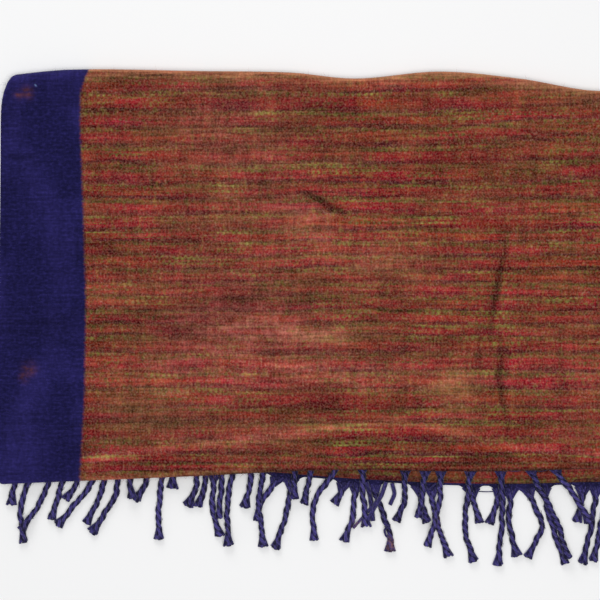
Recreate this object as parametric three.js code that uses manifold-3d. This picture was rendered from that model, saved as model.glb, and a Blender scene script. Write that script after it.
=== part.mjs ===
// A wool blanket folded into four layers, with a twisted fringe on both of its ends.
// Millimetres, +Z up, +X along the blanket's width, +Y towards the thick back fold.
// The origin is in the middle of the folded blanket, on the surface that it lies on.

import * as THREE from "three";
import { mergeVertices } from "three/addons/utils/BufferGeometryUtils.js";
import Module from "manifold-3d";

const wasm = await Module();
wasm.setup();

// Driving sizes of the cloth
const WIDTH = 1300;
const SHEET = 2.2;
const GAP = 1.2;
const CLEAR = 0.3;
const PITCH = SHEET + GAP;

// Driving sizes of the fringe
const STRIP_DEPTH = 6;
const STRAND_WIDTH = 6;
const STRAND_HEIGHT = 4.6;
const ROOT_WIDTH = 9;
const ROOT_LENGTH = 9;
const TIP_WIDTH = 7.5;
const TIP_FLARE = 8;
const REPEAT = 615;

// A short table: each row becomes an object with the named columns.
function table(columns, rows) {
  return rows.map((row) => Object.fromEntries(columns.map((name, i) => [name, row[i]])));
}

// The four edges that run along the width, as places along Y.
// along: distance from the left selvage; back: thick fold; fold: front fold of the top layers;
// lower and upper: outer edges of the two fringed ends, which lie one over the other.
const EDGES = table(
  ["along", "back", "fold", "lower", "upper"],
  [
    [0, 199, -210, -186, -156],
    [70, 205.5, -207, -189, -161],
    [200, 204, -201.5, -198, -172],
    [290, 202.5, -197, -206, -182],
    [355, 196.5, -195.5, -211, -190],
    [440, 203.5, -197, -215, -194.5],
    [520, 196.5, -196.5, -216, -194.5],
    [600, 184, -194.5, -214, -192.5],
    [720, 190, -196, -213, -192],
    [880, 201, -198, -212, -190],
    [1020, 204, -197, -213, -190],
    [1160, 202, -198, -212, -189],
    [1300, 200, -200, -208, -184],
  ],
);

// The back corners are rounded, because the fold is fuller than the selvages.
const CORNER_ALONG = 14;
const CORNER_DEPTH = 34;

// Soft swells of the top layer, where it stands off the layer below.
// along and y: middle; long and wide: half sizes; turn: degrees; rise: height.
const SWELLS = table(
  ["along", "y", "long", "wide", "turn", "rise"],
  [
    [505, -60, 120, 26, 96, 1.8],
    [385, -32, 75, 22, -14, 1.5],
    [215, -60, 110, 60, 20, 1.0],
    [320, 72, 90, 34, -28, 1.2],
    [120, 90, 60, 90, 0, 0.8],
    [700, 40, 130, 40, 24, 1.6],
    [900, -70, 140, 50, -18, 1.4],
    [1110, 60, 110, 60, 60, 1.3],
  ],
);

// The lower and upper end's strands. root: distance from the left selvage;
// out and end: the lean in degrees, to the right, at the root and at the tip;
// turn: where along the strand the lean changes; long: length of the strand.
const STRAND_COLUMNS = ["root", "out", "end", "turn", "long"];
const LOWER_STRANDS = table(STRAND_COLUMNS, [
  [37, -22, 6, 0.55, 84],
  [69, -19, -16, 0.5, 59],
  [106, -8, -26, 0.4, 62],
  [120, -8, -33, 0.4, 74],
  [151, -20, -34, 0.5, 36],
  [163, -7, 0, 0.5, 70],
  [214, -3, 20, 0.6, 64],
  [279, -40, 7, 0.42, 74],
  [291, -6, -18, 0.4, 71],
  [345, -26, -30, 0.5, 22],
  [356, -6, -22, 0.6, 58],
  [373, 20, 0, 0.75, 68],
  [419, 12, 14, 0.5, 35],
  [431, 9, 18, 0.4, 70],
  [471, 14, 16, 0.5, 34],
  [501, -18, -18, 0.5, 35],
  [511, -4, 15, 0.5, 67],
  [527, 26, -28, 0.52, 74],
  [543, 14, 20, 0.5, 77],
  [584, -10, -14, 0.5, 34],
  [597, -8, -14, 0.5, 77],
  [609, -12, -12, 0.5, 75],
]);
const UPPER_STRANDS = table(STRAND_COLUMNS, [
  [22, -8, -10, 0.5, 74],
  [59, -13, -34, 0.6, 104],
  [86, -10, -38, 0.7, 68],
  [106, -16, -40, 0.45, 102],
  [131, -2, 14, 0.8, 58],
  [174, -4, 0, 0.5, 45],
  [198, -2, -24, 0.65, 62],
  [208, -4, -22, 0.65, 61],
  [225, -6, -4, 0.5, 70],
  [237, -11, 2, 0.55, 96],
  [252, -2, -14, 0.5, 57],
  [268, -14, -6, 0.4, 68],
  [296, -4, -2, 0.5, 42],
  [312, -8, -12, 0.5, 46],
  [341, -36, 3, 0.56, 86],
  [362, 2, 6, 0.5, 62],
  [405, 0, -22, 0.6, 55],
  [426, -8, -10, 0.5, 50],
  [441, -2, -15, 0.4, 79],
  [471, -7, 16, 0.62, 94],
  [501, 2, -6, 0.5, 97],
  [529, 28, 16, 0.6, 98],
  [553, 38, 30, 0.5, 66],
]);

// How far each layer's selvages are drawn in from the full width, at either side
const DRAWN_IN = { first: 1.5, second: 3, third: 4, fourth: 0 };

// Plain mathematics
const clamp = (value, low, high) => Math.min(Math.max(value, low), high);
const ease = (value) => {
  const t = clamp(value, 0, 1);
  return t * t * (3 - 2 * t);
};
const mix = (a, b, t) => a + (b - a) * t;

// A smooth curve through one column of the edges' table
function edgeAt(column, along) {
  const last = EDGES.length - 1;
  let k = 0;
  while (k < last - 1 && EDGES[k + 1].along < along) k += 1;
  const slopeAt = (i) => {
    const before = EDGES[Math.max(i - 1, 0)];
    const after = EDGES[Math.min(i + 1, last)];
    return (after[column] - before[column]) / (after.along - before.along);
  };
  const left = EDGES[k];
  const right = EDGES[k + 1];
  const span = right.along - left.along;
  const t = clamp((along - left.along) / span, 0, 1);
  const rise = right[column] - left[column];
  const a = slopeAt(k) * span - rise;
  const b = rise - slopeAt(k + 1) * span;
  return mix(left[column], right[column], t) + t * (1 - t) * (a * (1 - t) + b * t);
}

// How far a rounded corner draws the back fold in, near either selvage
function cornerInset(along) {
  const reach = Math.min(along, WIDTH - along);
  if (reach >= CORNER_ALONG) return 0;
  const share = (CORNER_ALONG - reach) / CORNER_ALONG;
  return CORNER_DEPTH * (1 - Math.sqrt(1 - share * share));
}

// The place along X of a point that is a distance along the width, on a layer
const placeX = (along, drawnIn) => (along - WIDTH / 2) * (1 - drawnIn / (WIDTH / 2));

const backAt = (along) => edgeAt("back", along) - cornerInset(along);

const FALL_OFF = 1.5;
function swellAt(along, y) {
  return SWELLS.reduce((sum, swell) => {
    const turn = THREE.MathUtils.degToRad(swell.turn);
    const dx = along - swell.along;
    const dy = y - swell.y;
    const u = (dx * Math.cos(turn) + dy * Math.sin(turn)) / swell.long;
    const v = (dy * Math.cos(turn) - dx * Math.sin(turn)) / swell.wide;
    return sum + swell.rise * Math.exp(-FALL_OFF * (u * u + v * v));
  }, 0);
}

// Height of the middle of each layer at a place, counted from the surface up.
// The second layer settles onto the first over a short stretch at its end, and the two top
// layers rise over the upper fringe and droop where nothing but fringe is below them.
const SETTLE_LENGTH = 60;
const STRAND_LIFT = 1.9;
const LIFT_LENGTH = 70;
const FRONT_DROOP = 1.6;
const DROOP_LENGTH = 18;
function layerHeights(along, y) {
  const upperEnd = edgeAt("upper", along);
  const lowerEnd = edgeAt("lower", along);
  const settled = ease((y - upperEnd) / SETTLE_LENGTH);
  const overFringe = 1 - ease((y - upperEnd - STRIP_DEPTH) / LIFT_LENGTH);
  const droop = ease((lowerEnd - STRIP_DEPTH - y) / DROOP_LENGTH);
  const first = SHEET / 2;
  const second = first + SHEET + mix(CLEAR, GAP, settled);
  const third = first + 2 * PITCH + STRAND_LIFT * overFringe - FRONT_DROOP * droop;
  const fourth = third + PITCH + swellAt(along, y);
  return { first, second, third, fourth };
}

// The folded section at one place along the width: a walk along the middle of the cloth,
// from the lower end, over the back fold, to the front fold, back in, and out to the upper end.
const FLAT_SHARES = {
  first: [0, 0.25, 0.5, 0.75, 0.93, 1],
  fourth: [0, 0.07, 0.18, 0.3, 0.42, 0.54, 0.66, 0.78, 0.88, 0.94, 0.97, 1],
  third: [0, 0.03, 0.06, 0.12, 0.22, 0.5, 0.75, 0.93, 1],
  second: [0, 0.07, 0.3, 0.6, 0.84, 0.93, 1],
};
const FOLD_STEPS = { back: 8, front: 6, inner: 5 };
const INNER_INSET = 5;
const FOLD_EVEN = 40;
const FRONT_EVEN = 3;
function sectionAt(along) {
  const lowerStart = edgeAt("lower", along) + STRIP_DEPTH + CLEAR;
  const upperStart = edgeAt("upper", along) + STRIP_DEPTH + CLEAR;
  const frontFold = edgeAt("fold", along);
  const backFold = backAt(along);
  const points = [];

  const atBack = layerHeights(along, backFold - FOLD_EVEN / 2);
  const backRadius = (atBack.fourth - atBack.first) / 2;
  const backMiddle = backFold - backRadius - SHEET / 2;
  const innerRadius = (atBack.third - atBack.second) / 2;
  const innerMiddle = backMiddle - INNER_INSET;
  const atFront = layerHeights(along, frontFold + FRONT_EVEN);
  const frontRadius = (atFront.fourth - atFront.third) / 2;
  const frontMiddle = frontFold + frontRadius + SHEET / 2;

  const flat = (layer, from, to, shares, up) => {
    for (const share of shares) {
      const y = mix(from, to, share);
      const free = layerHeights(along, Math.max(y, frontFold + FRONT_EVEN))[layer];
      const z = mix(atBack[layer], free, ease((backMiddle - y) / FOLD_EVEN));
      points.push({ y, z, ny: 0, nz: up, drawnIn: DRAWN_IN[layer] });
    }
  };
  const bend = (y, z, radius, degrees, steps, side, layers) => {
    for (let i = 1; i < steps; i += 1) {
      const a = THREE.MathUtils.degToRad(mix(degrees[0], degrees[1], i / steps));
      const drawnIn = mix(DRAWN_IN[layers[0]], DRAWN_IN[layers[1]], i / steps);
      const cos = Math.cos(a);
      const sin = Math.sin(a);
      const at = { y: y + radius * cos, z: z + radius * sin, drawnIn };
      points.push({ ...at, ny: side * cos, nz: side * sin });
    }
  };
  const halfway = (heights, a, b) => (heights[a] + heights[b]) / 2;

  flat("first", lowerStart, backMiddle, FLAT_SHARES.first, 1);
  const backZ = halfway(atBack, "first", "fourth");
  bend(backMiddle, backZ, backRadius, [-90, 90], FOLD_STEPS.back, -1, ["first", "fourth"]);
  flat("fourth", backMiddle, frontMiddle, FLAT_SHARES.fourth, -1);
  const frontZ = halfway(atFront, "fourth", "third");
  bend(frontMiddle, frontZ, frontRadius, [90, 270], FOLD_STEPS.front, -1, ["fourth", "third"]);
  flat("third", frontMiddle, innerMiddle, FLAT_SHARES.third, 1);
  const innerZ = halfway(atBack, "third", "second");
  bend(innerMiddle, innerZ, innerRadius, [90, -90], FOLD_STEPS.inner, 1, ["third", "second"]);
  flat("second", innerMiddle, upperStart, FLAT_SHARES.second, -1);
  return points;
}

// Places along the width where the section is made: close at the rounded corners
const CORNER_STEPS = [0, 1.5, 5, 14];
const MIDDLE_STEPS = 33;
function stations() {
  const inner = CORNER_STEPS[CORNER_STEPS.length - 1];
  const places = [...CORNER_STEPS];
  for (let i = 1; i < MIDDLE_STEPS; i += 1) places.push(mix(inner, WIDTH - inner, i / MIDDLE_STEPS));
  return [...places, ...[...CORNER_STEPS].reverse().map((step) => WIDTH - step)];
}

// A closed solid from rings of points, one after another. Each ring goes round once, and
// its points run anticlockwise when looked at against the way that the rings follow.
function loft(rings, fillEnd) {
  const size = rings[0].length;
  const positions = rings.flat(2);
  const faces = [];
  for (let i = 0; i + 1 < rings.length; i += 1) {
    for (let j = 0; j < size; j += 1) {
      const k = (j + 1) % size;
      const near = i * size;
      const far = near + size;
      faces.push(near + j, near + k, far + k, near + j, far + k, far + j);
    }
  }
  const lastRing = (rings.length - 1) * size;
  fillEnd(size).forEach(([a, b, c]) => {
    faces.push(a, c, b);
    faces.push(lastRing + a, lastRing + b, lastRing + c);
  });
  const geometry = new THREE.BufferGeometry();
  geometry.setAttribute("position", new THREE.Float32BufferAttribute(positions, 3));
  geometry.setIndex(faces);
  return geometry;
}

// The end face of a long thin section, whose second half runs back beside its first
const fillStrip = (size) => {
  const triangles = [];
  for (let i = 0; i + 1 < size / 2; i += 1) {
    const back = size - 1 - i;
    triangles.push([i, i + 1, back], [i + 1, back - 1, back]);
  }
  return triangles;
};

function clothGeometry() {
  const rings = stations().map((along) => {
    const section = sectionAt(along);
    const side = (point, way) => [
      placeX(along, point.drawnIn),
      point.y + way * point.ny * (SHEET / 2),
      point.z + way * point.nz * (SHEET / 2),
    ];
    const right = section.map((point) => side(point, -1));
    const left = section.map((point) => side(point, 1)).reverse();
    return [...right, ...left];
  });
  return loft(rings, fillStrip);
}

// A strand's middle line in plan, from its root outwards, in steps of one millimetre
const TURN_SHARE = 0.35;
function strandLine(row, strand) {
  const places = [];
  let along = strand.root;
  let y = edgeAt(row, along);
  for (let s = 0; s <= strand.long; s += 1) {
    const bent = ease((s / strand.long - strand.turn) / TURN_SHARE + 0.5);
    const lean = THREE.MathUtils.degToRad(mix(strand.out, strand.end, bent));
    places.push({ s, along, y, dx: Math.sin(lean), dy: -Math.cos(lean) });
    along += Math.sin(lean);
    y -= Math.cos(lean);
  }
  return places;
}

// The table's strands, repeated along the whole width
const SIDE_MARGIN = 30;
const strandsOf = (strands) =>
  [0, 1, 2].flatMap((copy) =>
    strands
      .map((strand) => ({ ...strand, root: strand.root + copy * REPEAT }))
      .filter((strand) => strand.root < WIDTH - SIDE_MARGIN),
  );

// Width and height of a strand at a distance from its root
const strandWidth = (s, long) =>
  s < ROOT_LENGTH
    ? mix(ROOT_WIDTH, STRAND_WIDTH, ease(s / ROOT_LENGTH))
    : mix(STRAND_WIDTH, TIP_WIDTH, ease((s - long + TIP_FLARE) / TIP_FLARE));
const strandHeight = (s) => mix(SHEET, STRAND_HEIGHT, ease(s / ROOT_LENGTH));

// How high the underside of an upper strand is at each place on its line: on the lower end,
// over a lower strand, or level on the surface, with gentle slopes between them.
const SLOPE = 0.45;
const BESIDE = 0.8;
const OVER_CLOTH = SHEET + CLEAR;
function undersides(line, long, lowerLines) {
  const needed = line.map(({ s, along, y }) => {
    const half = strandWidth(s, long) / 2;
    let height = y > edgeAt("lower", along) - half ? OVER_CLOTH : 0;
    for (const lower of lowerLines) {
      for (const place of lower.line) {
        const reach = half + strandWidth(place.s, lower.long) / 2 + BESIDE;
        if (Math.abs(place.along - along) > reach || Math.abs(place.y - y) > reach) continue;
        if (Math.hypot(place.along - along, place.y - y) > reach) continue;
        height = Math.max(height, strandHeight(place.s) + CLEAR);
      }
    }
    return height;
  });
  return line.map((_, i) =>
    needed.reduce((most, height, j) => Math.max(most, height - SLOPE * Math.abs(i - j)), 0),
  );
}

// A strand with four sides, level underneath, that starts inside its strip
const STRAND_STEP = 10;
const ROOT_INSIDE = 3;
const ROOT_SUNK = 0.3;
const FIRST_KNOT = 2;
const CROWN_SHARE = 0.36;
function strandGeometry(row, strand, lowerLines) {
  const line = strandLine(row, strand);
  const under = row === "upper" ? undersides(line, strand.long, lowerLines) : line.map(() => 0);
  const count = Math.max(3, Math.round(strand.long / STRAND_STEP));
  const knots = [FIRST_KNOT];
  for (let i = 1; i <= count; i += 1) knots.push(Math.round((i / count) * (line.length - 1)));

  const ring = (along, y, dx, dy, bottom, width, height) => {
    const place = (side, z) => [along - WIDTH / 2 - dy * side, y + dx * side, z];
    const top = bottom + height;
    const crown = width * CROWN_SHARE;
    return [
      place(-width / 2, bottom),
      place(width / 2, bottom),
      place(crown, top),
      place(-crown, top),
    ];
  };
  const rootY = line[0].y + ROOT_INSIDE;
  const rootZ = under[0] + ROOT_SUNK;
  const rings = [ring(strand.root, rootY, 0, -1, rootZ, ROOT_WIDTH, SHEET - 2 * ROOT_SUNK)];
  knots.forEach((at, i) => {
    const from = knots[Math.max(i - 1, 0)];
    const to = knots[Math.min(i + 1, knots.length - 1)];
    const bottom = Math.max(...under.slice(from, to + 1));
    const { s, along, y, dx, dy } = line[at];
    rings.push(ring(along, y, dx, dy, bottom, strandWidth(s, strand.long), strandHeight(s)));
  });
  return loft(rings, () => [
    [0, 1, 2],
    [0, 2, 3],
  ]);
}

// The narrow strip that the strands hang from
function stripGeometry(row) {
  const bottom = row === "upper" ? OVER_CLOTH : 0;
  const drawnIn = row === "upper" ? DRAWN_IN.second : DRAWN_IN.first;
  const rings = stations().map((along) => {
    const x = placeX(along, drawnIn);
    const outer = edgeAt(row, along);
    const inner = outer + STRIP_DEPTH;
    return [
      [x, outer, bottom],
      [x, inner, bottom],
      [x, inner, bottom + SHEET],
      [x, outer, bottom + SHEET],
    ];
  });
  return loft(rings, () => [
    [0, 1, 2],
    [0, 2, 3],
  ]);
}

// Joins and conversions between geometries and solids
function solidOf(geometry) {
  const merged = mergeVertices(geometry, 1e-4);
  return new wasm.Manifold(
    new wasm.Mesh({
      numProp: 3,
      vertProperties: new Float32Array(merged.attributes.position.array),
      triVerts: new Uint32Array(merged.index.array),
    }),
  );
}

function geometryOf(solid) {
  const mesh = solid.getMesh();
  const geometry = new THREE.BufferGeometry();
  geometry.setAttribute("position", new THREE.BufferAttribute(mesh.vertProperties, 3));
  geometry.setIndex(new THREE.BufferAttribute(mesh.triVerts, 1));
  return geometry;
}

function fringeGeometry(row, strands, lowerLines) {
  const pieces = strandsOf(strands).map((strand) => solidOf(strandGeometry(row, strand, lowerLines)));
  return geometryOf(pieces.reduce((joined, piece) => joined.add(piece), solidOf(stripGeometry(row))));
}

// Materials and the finished blanket
const wool = new THREE.MeshStandardMaterial({ color: 0x764432, roughness: 0.95, metalness: 0 });
const navyYarn = new THREE.MeshStandardMaterial({ color: 0x28235f, roughness: 0.9, metalness: 0 });

function piece(name, geometry, material) {
  const mesh = new THREE.Mesh(geometry, material);
  mesh.name = name;
  return mesh;
}

const lowerLines = strandsOf(LOWER_STRANDS).map((strand) => ({
  long: strand.long,
  line: strandLine("lower", strand),
}));

const blanket = new THREE.Group();
blanket.add(piece("cloth", clothGeometry(), wool));
blanket.add(piece("lower_fringe", fringeGeometry("lower", LOWER_STRANDS, []), navyYarn));
blanket.add(piece("upper_fringe", fringeGeometry("upper", UPPER_STRANDS, lowerLines), navyYarn));

export default blanket;
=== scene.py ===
# %% [markdown]
# A folded wool blanket
# This notebook dresses the measured solids of a thin wool throw blanket. It lies folded into
# four layers, with a navy border woven along both selvages and a twisted navy fringe on both
# ends. The solids give every place and size, so the pieces here are made on the same lines,
# only with far finer steps, and the colours and the nap come from materials and fibres.

# %% Load the measured solids
import math
from collections import namedtuple
from types import SimpleNamespace

import bpy
import numpy as np
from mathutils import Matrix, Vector


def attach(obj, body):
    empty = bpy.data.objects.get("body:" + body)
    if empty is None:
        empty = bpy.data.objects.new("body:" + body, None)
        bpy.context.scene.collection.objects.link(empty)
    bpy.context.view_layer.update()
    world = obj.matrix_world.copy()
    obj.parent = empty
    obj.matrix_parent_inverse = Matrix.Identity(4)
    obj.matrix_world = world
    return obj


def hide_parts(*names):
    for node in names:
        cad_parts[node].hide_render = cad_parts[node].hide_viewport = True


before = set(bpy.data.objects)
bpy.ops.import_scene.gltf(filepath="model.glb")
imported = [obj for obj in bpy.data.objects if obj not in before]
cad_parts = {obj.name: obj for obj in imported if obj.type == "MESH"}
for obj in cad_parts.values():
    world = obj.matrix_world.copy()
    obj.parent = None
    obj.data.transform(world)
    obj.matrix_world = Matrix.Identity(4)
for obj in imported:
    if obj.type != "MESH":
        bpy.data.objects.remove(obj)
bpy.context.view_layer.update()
MM = 0.001


# %% [markdown]
# The camera and the light
# The blanket was photographed from almost straight above. A long lens keeps the sides
# parallel, and its length follows from how much of the surface the picture spans. Standing
# a little to the front, the camera sees the edge of the front fold.

# %% Camera, from almost straight above
VIEW_SPAN = 0.600
VIEW_MIDDLE = (-0.350, -0.026, 0.010)
CAMERA_DISTANCE = 2.4
CAMERA_LEAN = math.radians(1.5)
SENSOR = 36.0


def add_object(name, data):
    thing = bpy.data.objects.new(name, data)
    bpy.context.scene.collection.objects.link(thing)
    return thing


def make_camera():
    data = bpy.data.cameras.new("camera")
    data.sensor_width = SENSOR
    data.lens = SENSOR * CAMERA_DISTANCE / VIEW_SPAN
    data.dof.use_dof = False
    camera = add_object("camera", data)
    x, y, z = VIEW_MIDDLE
    back = CAMERA_DISTANCE * math.sin(CAMERA_LEAN)
    camera.location = (x, y - back, z + CAMERA_DISTANCE * math.cos(CAMERA_LEAN))
    camera.rotation_euler = (CAMERA_LEAN, 0, 0)
    return camera


bpy.context.scene.camera = make_camera()
bpy.context.scene.view_settings.view_transform = "Standard"
print("lens", round(bpy.context.scene.camera.data.lens, 1), "mm")

# %% [markdown]
# Soft light gives wool its depth without hard shadows. One wide panel hangs overhead, and a
# second one stands behind the thick fold, so that the nap on the folds catches the light
# and each crease has a bright side and a dark side.

# %% Floor, world and soft lights
FLOOR_SIZE = 24.0
FLOOR_DROP = 0.0002
FLOOR_COLOUR = (0.965, 0.96, 0.955, 1)
FLOOR_FINISH = {"Base Color": FLOOR_COLOUR, "Roughness": 0.9, "Specular IOR Level": 0.1}
WORLD_LIGHT = {"Color": (0.95, 0.97, 1.0, 1), "Strength": 0.33}
# name, place, aim, size, power
PANELS = [
    ("overhead", (-0.15, -0.45, 2.8), (-0.25, -0.35, 0), 2.2, 49.5),
    ("behind", (-0.9, 2.0, 1.3), (-0.2, 0, 0), 1.2, 17),
]


def set_sockets(node, values):
    for name, value in values.items():
        node.inputs[name].default_value = value


def make_floor():
    half = FLOOR_SIZE / 2
    mesh = bpy.data.meshes.new("floor")
    corners = [(-half, -half), (half, -half), (half, half), (-half, half)]
    mesh.from_pydata([(x, y, -FLOOR_DROP) for x, y in corners], [], [(0, 1, 2, 3)])
    material = bpy.data.materials.new("plain_floor")
    material.use_nodes = True
    set_sockets(material.node_tree.nodes["Principled BSDF"], FLOOR_FINISH)
    mesh.materials.append(material)
    floor = add_object("floor", mesh)
    return floor


def make_world():
    world = bpy.data.worlds.new("studio")
    world.use_nodes = True
    set_sockets(world.node_tree.nodes["Background"], WORLD_LIGHT)
    bpy.context.scene.world = world


def make_panel(name, place, aim, size, power):
    data = bpy.data.lights.new(name, "AREA")
    data.shape = "SQUARE"
    data.size = size
    data.energy = power
    panel = add_object(name, data)
    panel.location = place
    away = Vector(place) - Vector(aim)
    panel.rotation_euler = away.to_track_quat("Z", "Y").to_euler()


floor = make_floor()
make_world()
for panel in PANELS:
    make_panel(*panel)
print("floor, world and", len(PANELS), "lights")

# %% [markdown]
# The lines of the folded cloth
# A folded blanket is one sheet that runs back and forth. Four lines along its width say
# where it turns and ends: the thick back fold, the front fold of the two top layers, and the
# two fringed ends, which lie one over the other. The tables are in millimetres, as cloth is
# measured, and a smooth curve runs through each column. A spline object could do this too,
# but plain arithmetic gives the same edge to the cloth, its end strips and every strand.

# %% Lines along the width
WIDTH = 1300.0
SHEET = 2.2
GAP = 1.2
CLEAR = 0.3
PITCH = SHEET + GAP
STRIP_DEPTH = 6.0

# along, back, fold, lower, upper
EDGES = np.array(
    [
        [0, 199, -210, -186, -156],
        [70, 205.5, -207, -189, -161],
        [200, 204, -201.5, -198, -172],
        [290, 202.5, -197, -206, -182],
        [355, 196.5, -195.5, -211, -190],
        [440, 203.5, -197, -215, -194.5],
        [520, 196.5, -196.5, -216, -194.5],
        [600, 184, -194.5, -214, -192.5],
        [720, 190, -196, -213, -192],
        [880, 201, -198, -212, -190],
        [1020, 204, -197, -213, -190],
        [1160, 202, -198, -212, -189],
        [1300, 200, -200, -208, -184],
    ]
)
EDGE_COLUMNS = {"back": 1, "fold": 2, "lower": 3, "upper": 4}
CORNER_ALONG = 14.0
CORNER_DEPTH = 34.0
DRAWN_IN = {"first": 1.5, "second": 3.0, "third": 4.0, "fourth": 0.0}


def mix(a, b, t):
    return a + (b - a) * t


def ease(value):
    t = np.clip(value, 0, 1)
    return t * t * (3 - 2 * t)


def edge_at(column, along):
    along = np.asarray(along, float)
    places = EDGES[:, 0]
    values = EDGES[:, EDGE_COLUMNS[column]]
    last = len(places) - 1
    k = np.clip(np.searchsorted(places, along) - 1, 0, last - 1)
    before = np.maximum(np.arange(last + 1) - 1, 0)
    after = np.minimum(np.arange(last + 1) + 1, last)
    slope = (values[after] - values[before]) / (places[after] - places[before])
    span = places[k + 1] - places[k]
    t = np.clip((along - places[k]) / span, 0, 1)
    rise = values[k + 1] - values[k]
    a = slope[k] * span - rise
    b = rise - slope[k + 1] * span
    return mix(values[k], values[k + 1], t) + t * (1 - t) * (a * (1 - t) + b * t)


def back_at(along):
    reach = np.minimum(along, WIDTH - along)
    share = np.clip((CORNER_ALONG - reach) / CORNER_ALONG, 0, 1)
    return edge_at("back", along) - CORNER_DEPTH * (1 - np.sqrt(1 - share * share))


def place_x(along, drawn_in):
    return (along - WIDTH / 2) * (1 - drawn_in / (WIDTH / 2))


print("back fold at the middle of the width:", round(float(back_at(WIDTH / 2)), 1), "mm")

# %% [markdown]
# Swells and creases
# Wool keeps soft swells where the sheet stands off the layer below, and sharper creases
# where it was pinched. Simulated cloth would put folds somewhere, but not where these are,
# so each is placed one by one: a swell is a soft oval bump, and a crease is a short chain of
# points with a trough along it and often a ridge beside it. Waves with a fixed seed add the
# small unevenness that no flat sheet has.

# %% Relief of the layers
FALL_OFF = 1.5
# along, y, long, wide, turn in degrees, rise
SWELLS = np.array(
    [
        [505, -60, 120, 26, 96, 2.0],
        [385, -32, 75, 22, -14, 1.5],
        [215, -60, 110, 60, 20, 1.0],
        [320, 72, 90, 34, -28, 1.2],
        [120, 90, 60, 90, 0, 0.8],
        [700, 40, 130, 40, 24, 1.6],
        [900, -70, 140, 50, -18, 1.4],
        [1110, 60, 110, 60, 60, 1.3],
    ]
)
# Each crease is a depth, a half width and the points that it follows. Ridges are negative.
CREASES = [
    (2.2, 3.4, [(298, 83), (310, 79), (320, 74), (331, 66), (344, 61)]),
    (-0.9, 3.5, [(300, 87), (315, 85), (330, 80)]),
    (-0.9, 5.0, [(334, 76), (350, 70), (362, 68)]),
    (1.8, 2.2, [(340, -29), (355, -29), (367, -32), (386, -36), (402, -37), (424, -36)]),
    (-0.8, 4.5, [(352, -22), (372, -25), (392, -29), (412, -29)]),
    (0.6, 7.0, [(350, -43), (380, -48), (415, -46)]),
    (1.7, 3.8, [(506, 42), (504, 20), (498, -8), (493, -34), (490, -70)]),
    (-0.7, 6.0, [(517, 30), (510, -10), (502, -60)]),
    (1.5, 3.6, [(500, -68), (501, -90), (498, -104), (502, -126), (508, -158)]),
    (-0.6, 6.0, [(511, -84), (510, -120), (517, -150)]),
    (0.8, 4.5, [(477, -52), (478, -76), (476, -98)]),
    (0.6, 7.0, [(552, 30), (556, -30), (561, -100), (560, -150)]),
    (0.5, 6.0, [(150, 20), (190, 34), (250, 40)]),
    (0.5, 5.0, [(20, -60), (60, -66), (110, -84)]),
    (1.0, 4.0, [(3, 119), (17, 116), (34, 119)]),
    (1.1, 4.0, [(668, 74), (700, 66), (742, 40)]),
    (-0.7, 5.0, [(676, 84), (712, 74), (750, 50)]),
    (1.2, 3.0, [(838, -96), (880, -84), (930, -92)]),
    (-0.7, 5.0, [(850, -84), (890, -74), (930, -80)]),
    (1.0, 4.0, [(1080, 96), (1092, 50), (1084, 0)]),
    (-0.6, 6.0, [(1094, 90), (1106, 50), (1098, 6)]),
]
# A crease is deepest in its middle and fades to under half of that at either end
CREASE_START = 0.12
CREASE_SPAN = 0.76
CREASE_POWER = 0.8
WAVES = 26
WAVE_LENGTHS = (14.0, 110.0)
WAVE_HEIGHT = 0.012
WAVE_POWER = 0.45
WAVE_SEED = 41
RELIEF_SHARE = {"fourth": 1.0, "third": 0.6, "second": 0.3, "first": 0.0}


def ovals(table, along, y, fall_off=1.0):
    """The sum of a table's soft oval bumps, each turned about its own middle."""
    total = np.zeros(np.broadcast(along, y).shape)
    for middle, across, long, wide, turn, height in table:
        angle = math.radians(turn)
        dx = along - middle
        dy = y - across
        u = (dx * math.cos(angle) + dy * math.sin(angle)) / long
        v = (dy * math.cos(angle) - dx * math.sin(angle)) / wide
        total += height * np.exp(-fall_off * (u * u + v * v))
    return total


def chain_distance(along, y, points):
    """Distance to a chain of points, and how far along the chain the nearest place is."""
    best = np.full(np.broadcast(along, y).shape, np.inf)
    where = np.zeros(best.shape)
    parts = len(points) - 1
    for i in range(parts):
        (ax, ay), (bx, by) = points[i], points[i + 1]
        dx, dy = bx - ax, by - ay
        t = np.clip(((along - ax) * dx + (y - ay) * dy) / (dx * dx + dy * dy), 0, 1)
        distance = np.hypot(along - ax - t * dx, y - ay - t * dy)
        nearer = distance < best
        best = np.where(nearer, distance, best)
        where = np.where(nearer, (i + t) / parts, where)
    return best, where


def crease_at(along, y):
    total = np.zeros(np.broadcast(along, y).shape)
    for depth, half_width, points in CREASES:
        distance, where = chain_distance(along, y, points)
        fade = np.sin(math.pi * (CREASE_START + CREASE_SPAN * where)) ** CREASE_POWER
        total -= depth * fade * np.exp(-((distance / half_width) ** 2))
    return total


def wave_at(along, y):
    draw = np.random.default_rng(WAVE_SEED)
    shortest, longest = (math.log(length) for length in WAVE_LENGTHS)
    total = np.zeros(np.broadcast(along, y).shape)
    for _ in range(WAVES):
        length = math.exp(draw.uniform(shortest, longest))
        heading = draw.uniform(0, math.pi)
        phase = draw.uniform(0, 2 * math.pi)
        travel = along * math.cos(heading) + y * math.sin(heading)
        height = WAVE_HEIGHT * length**WAVE_POWER
        total += height * np.sin(2 * math.pi * travel / length + phase)
    return total


print(len(SWELLS), "swells,", len(CREASES), "creases and ridges,", WAVES, "waves")

# %% [markdown]
# Heights of the four layers
# Each layer lies a little above the one below. The second settles onto the first at its end,
# and the two top layers rise over the upper fringe and droop at the front, where nothing but
# fringe is below them.

# %% Layer heights
SETTLE_LENGTH = 60.0
STRAND_LIFT = 1.9
LIFT_LENGTH = 70.0
FRONT_DROOP = 1.6
DROOP_LENGTH = 18.0


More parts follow.
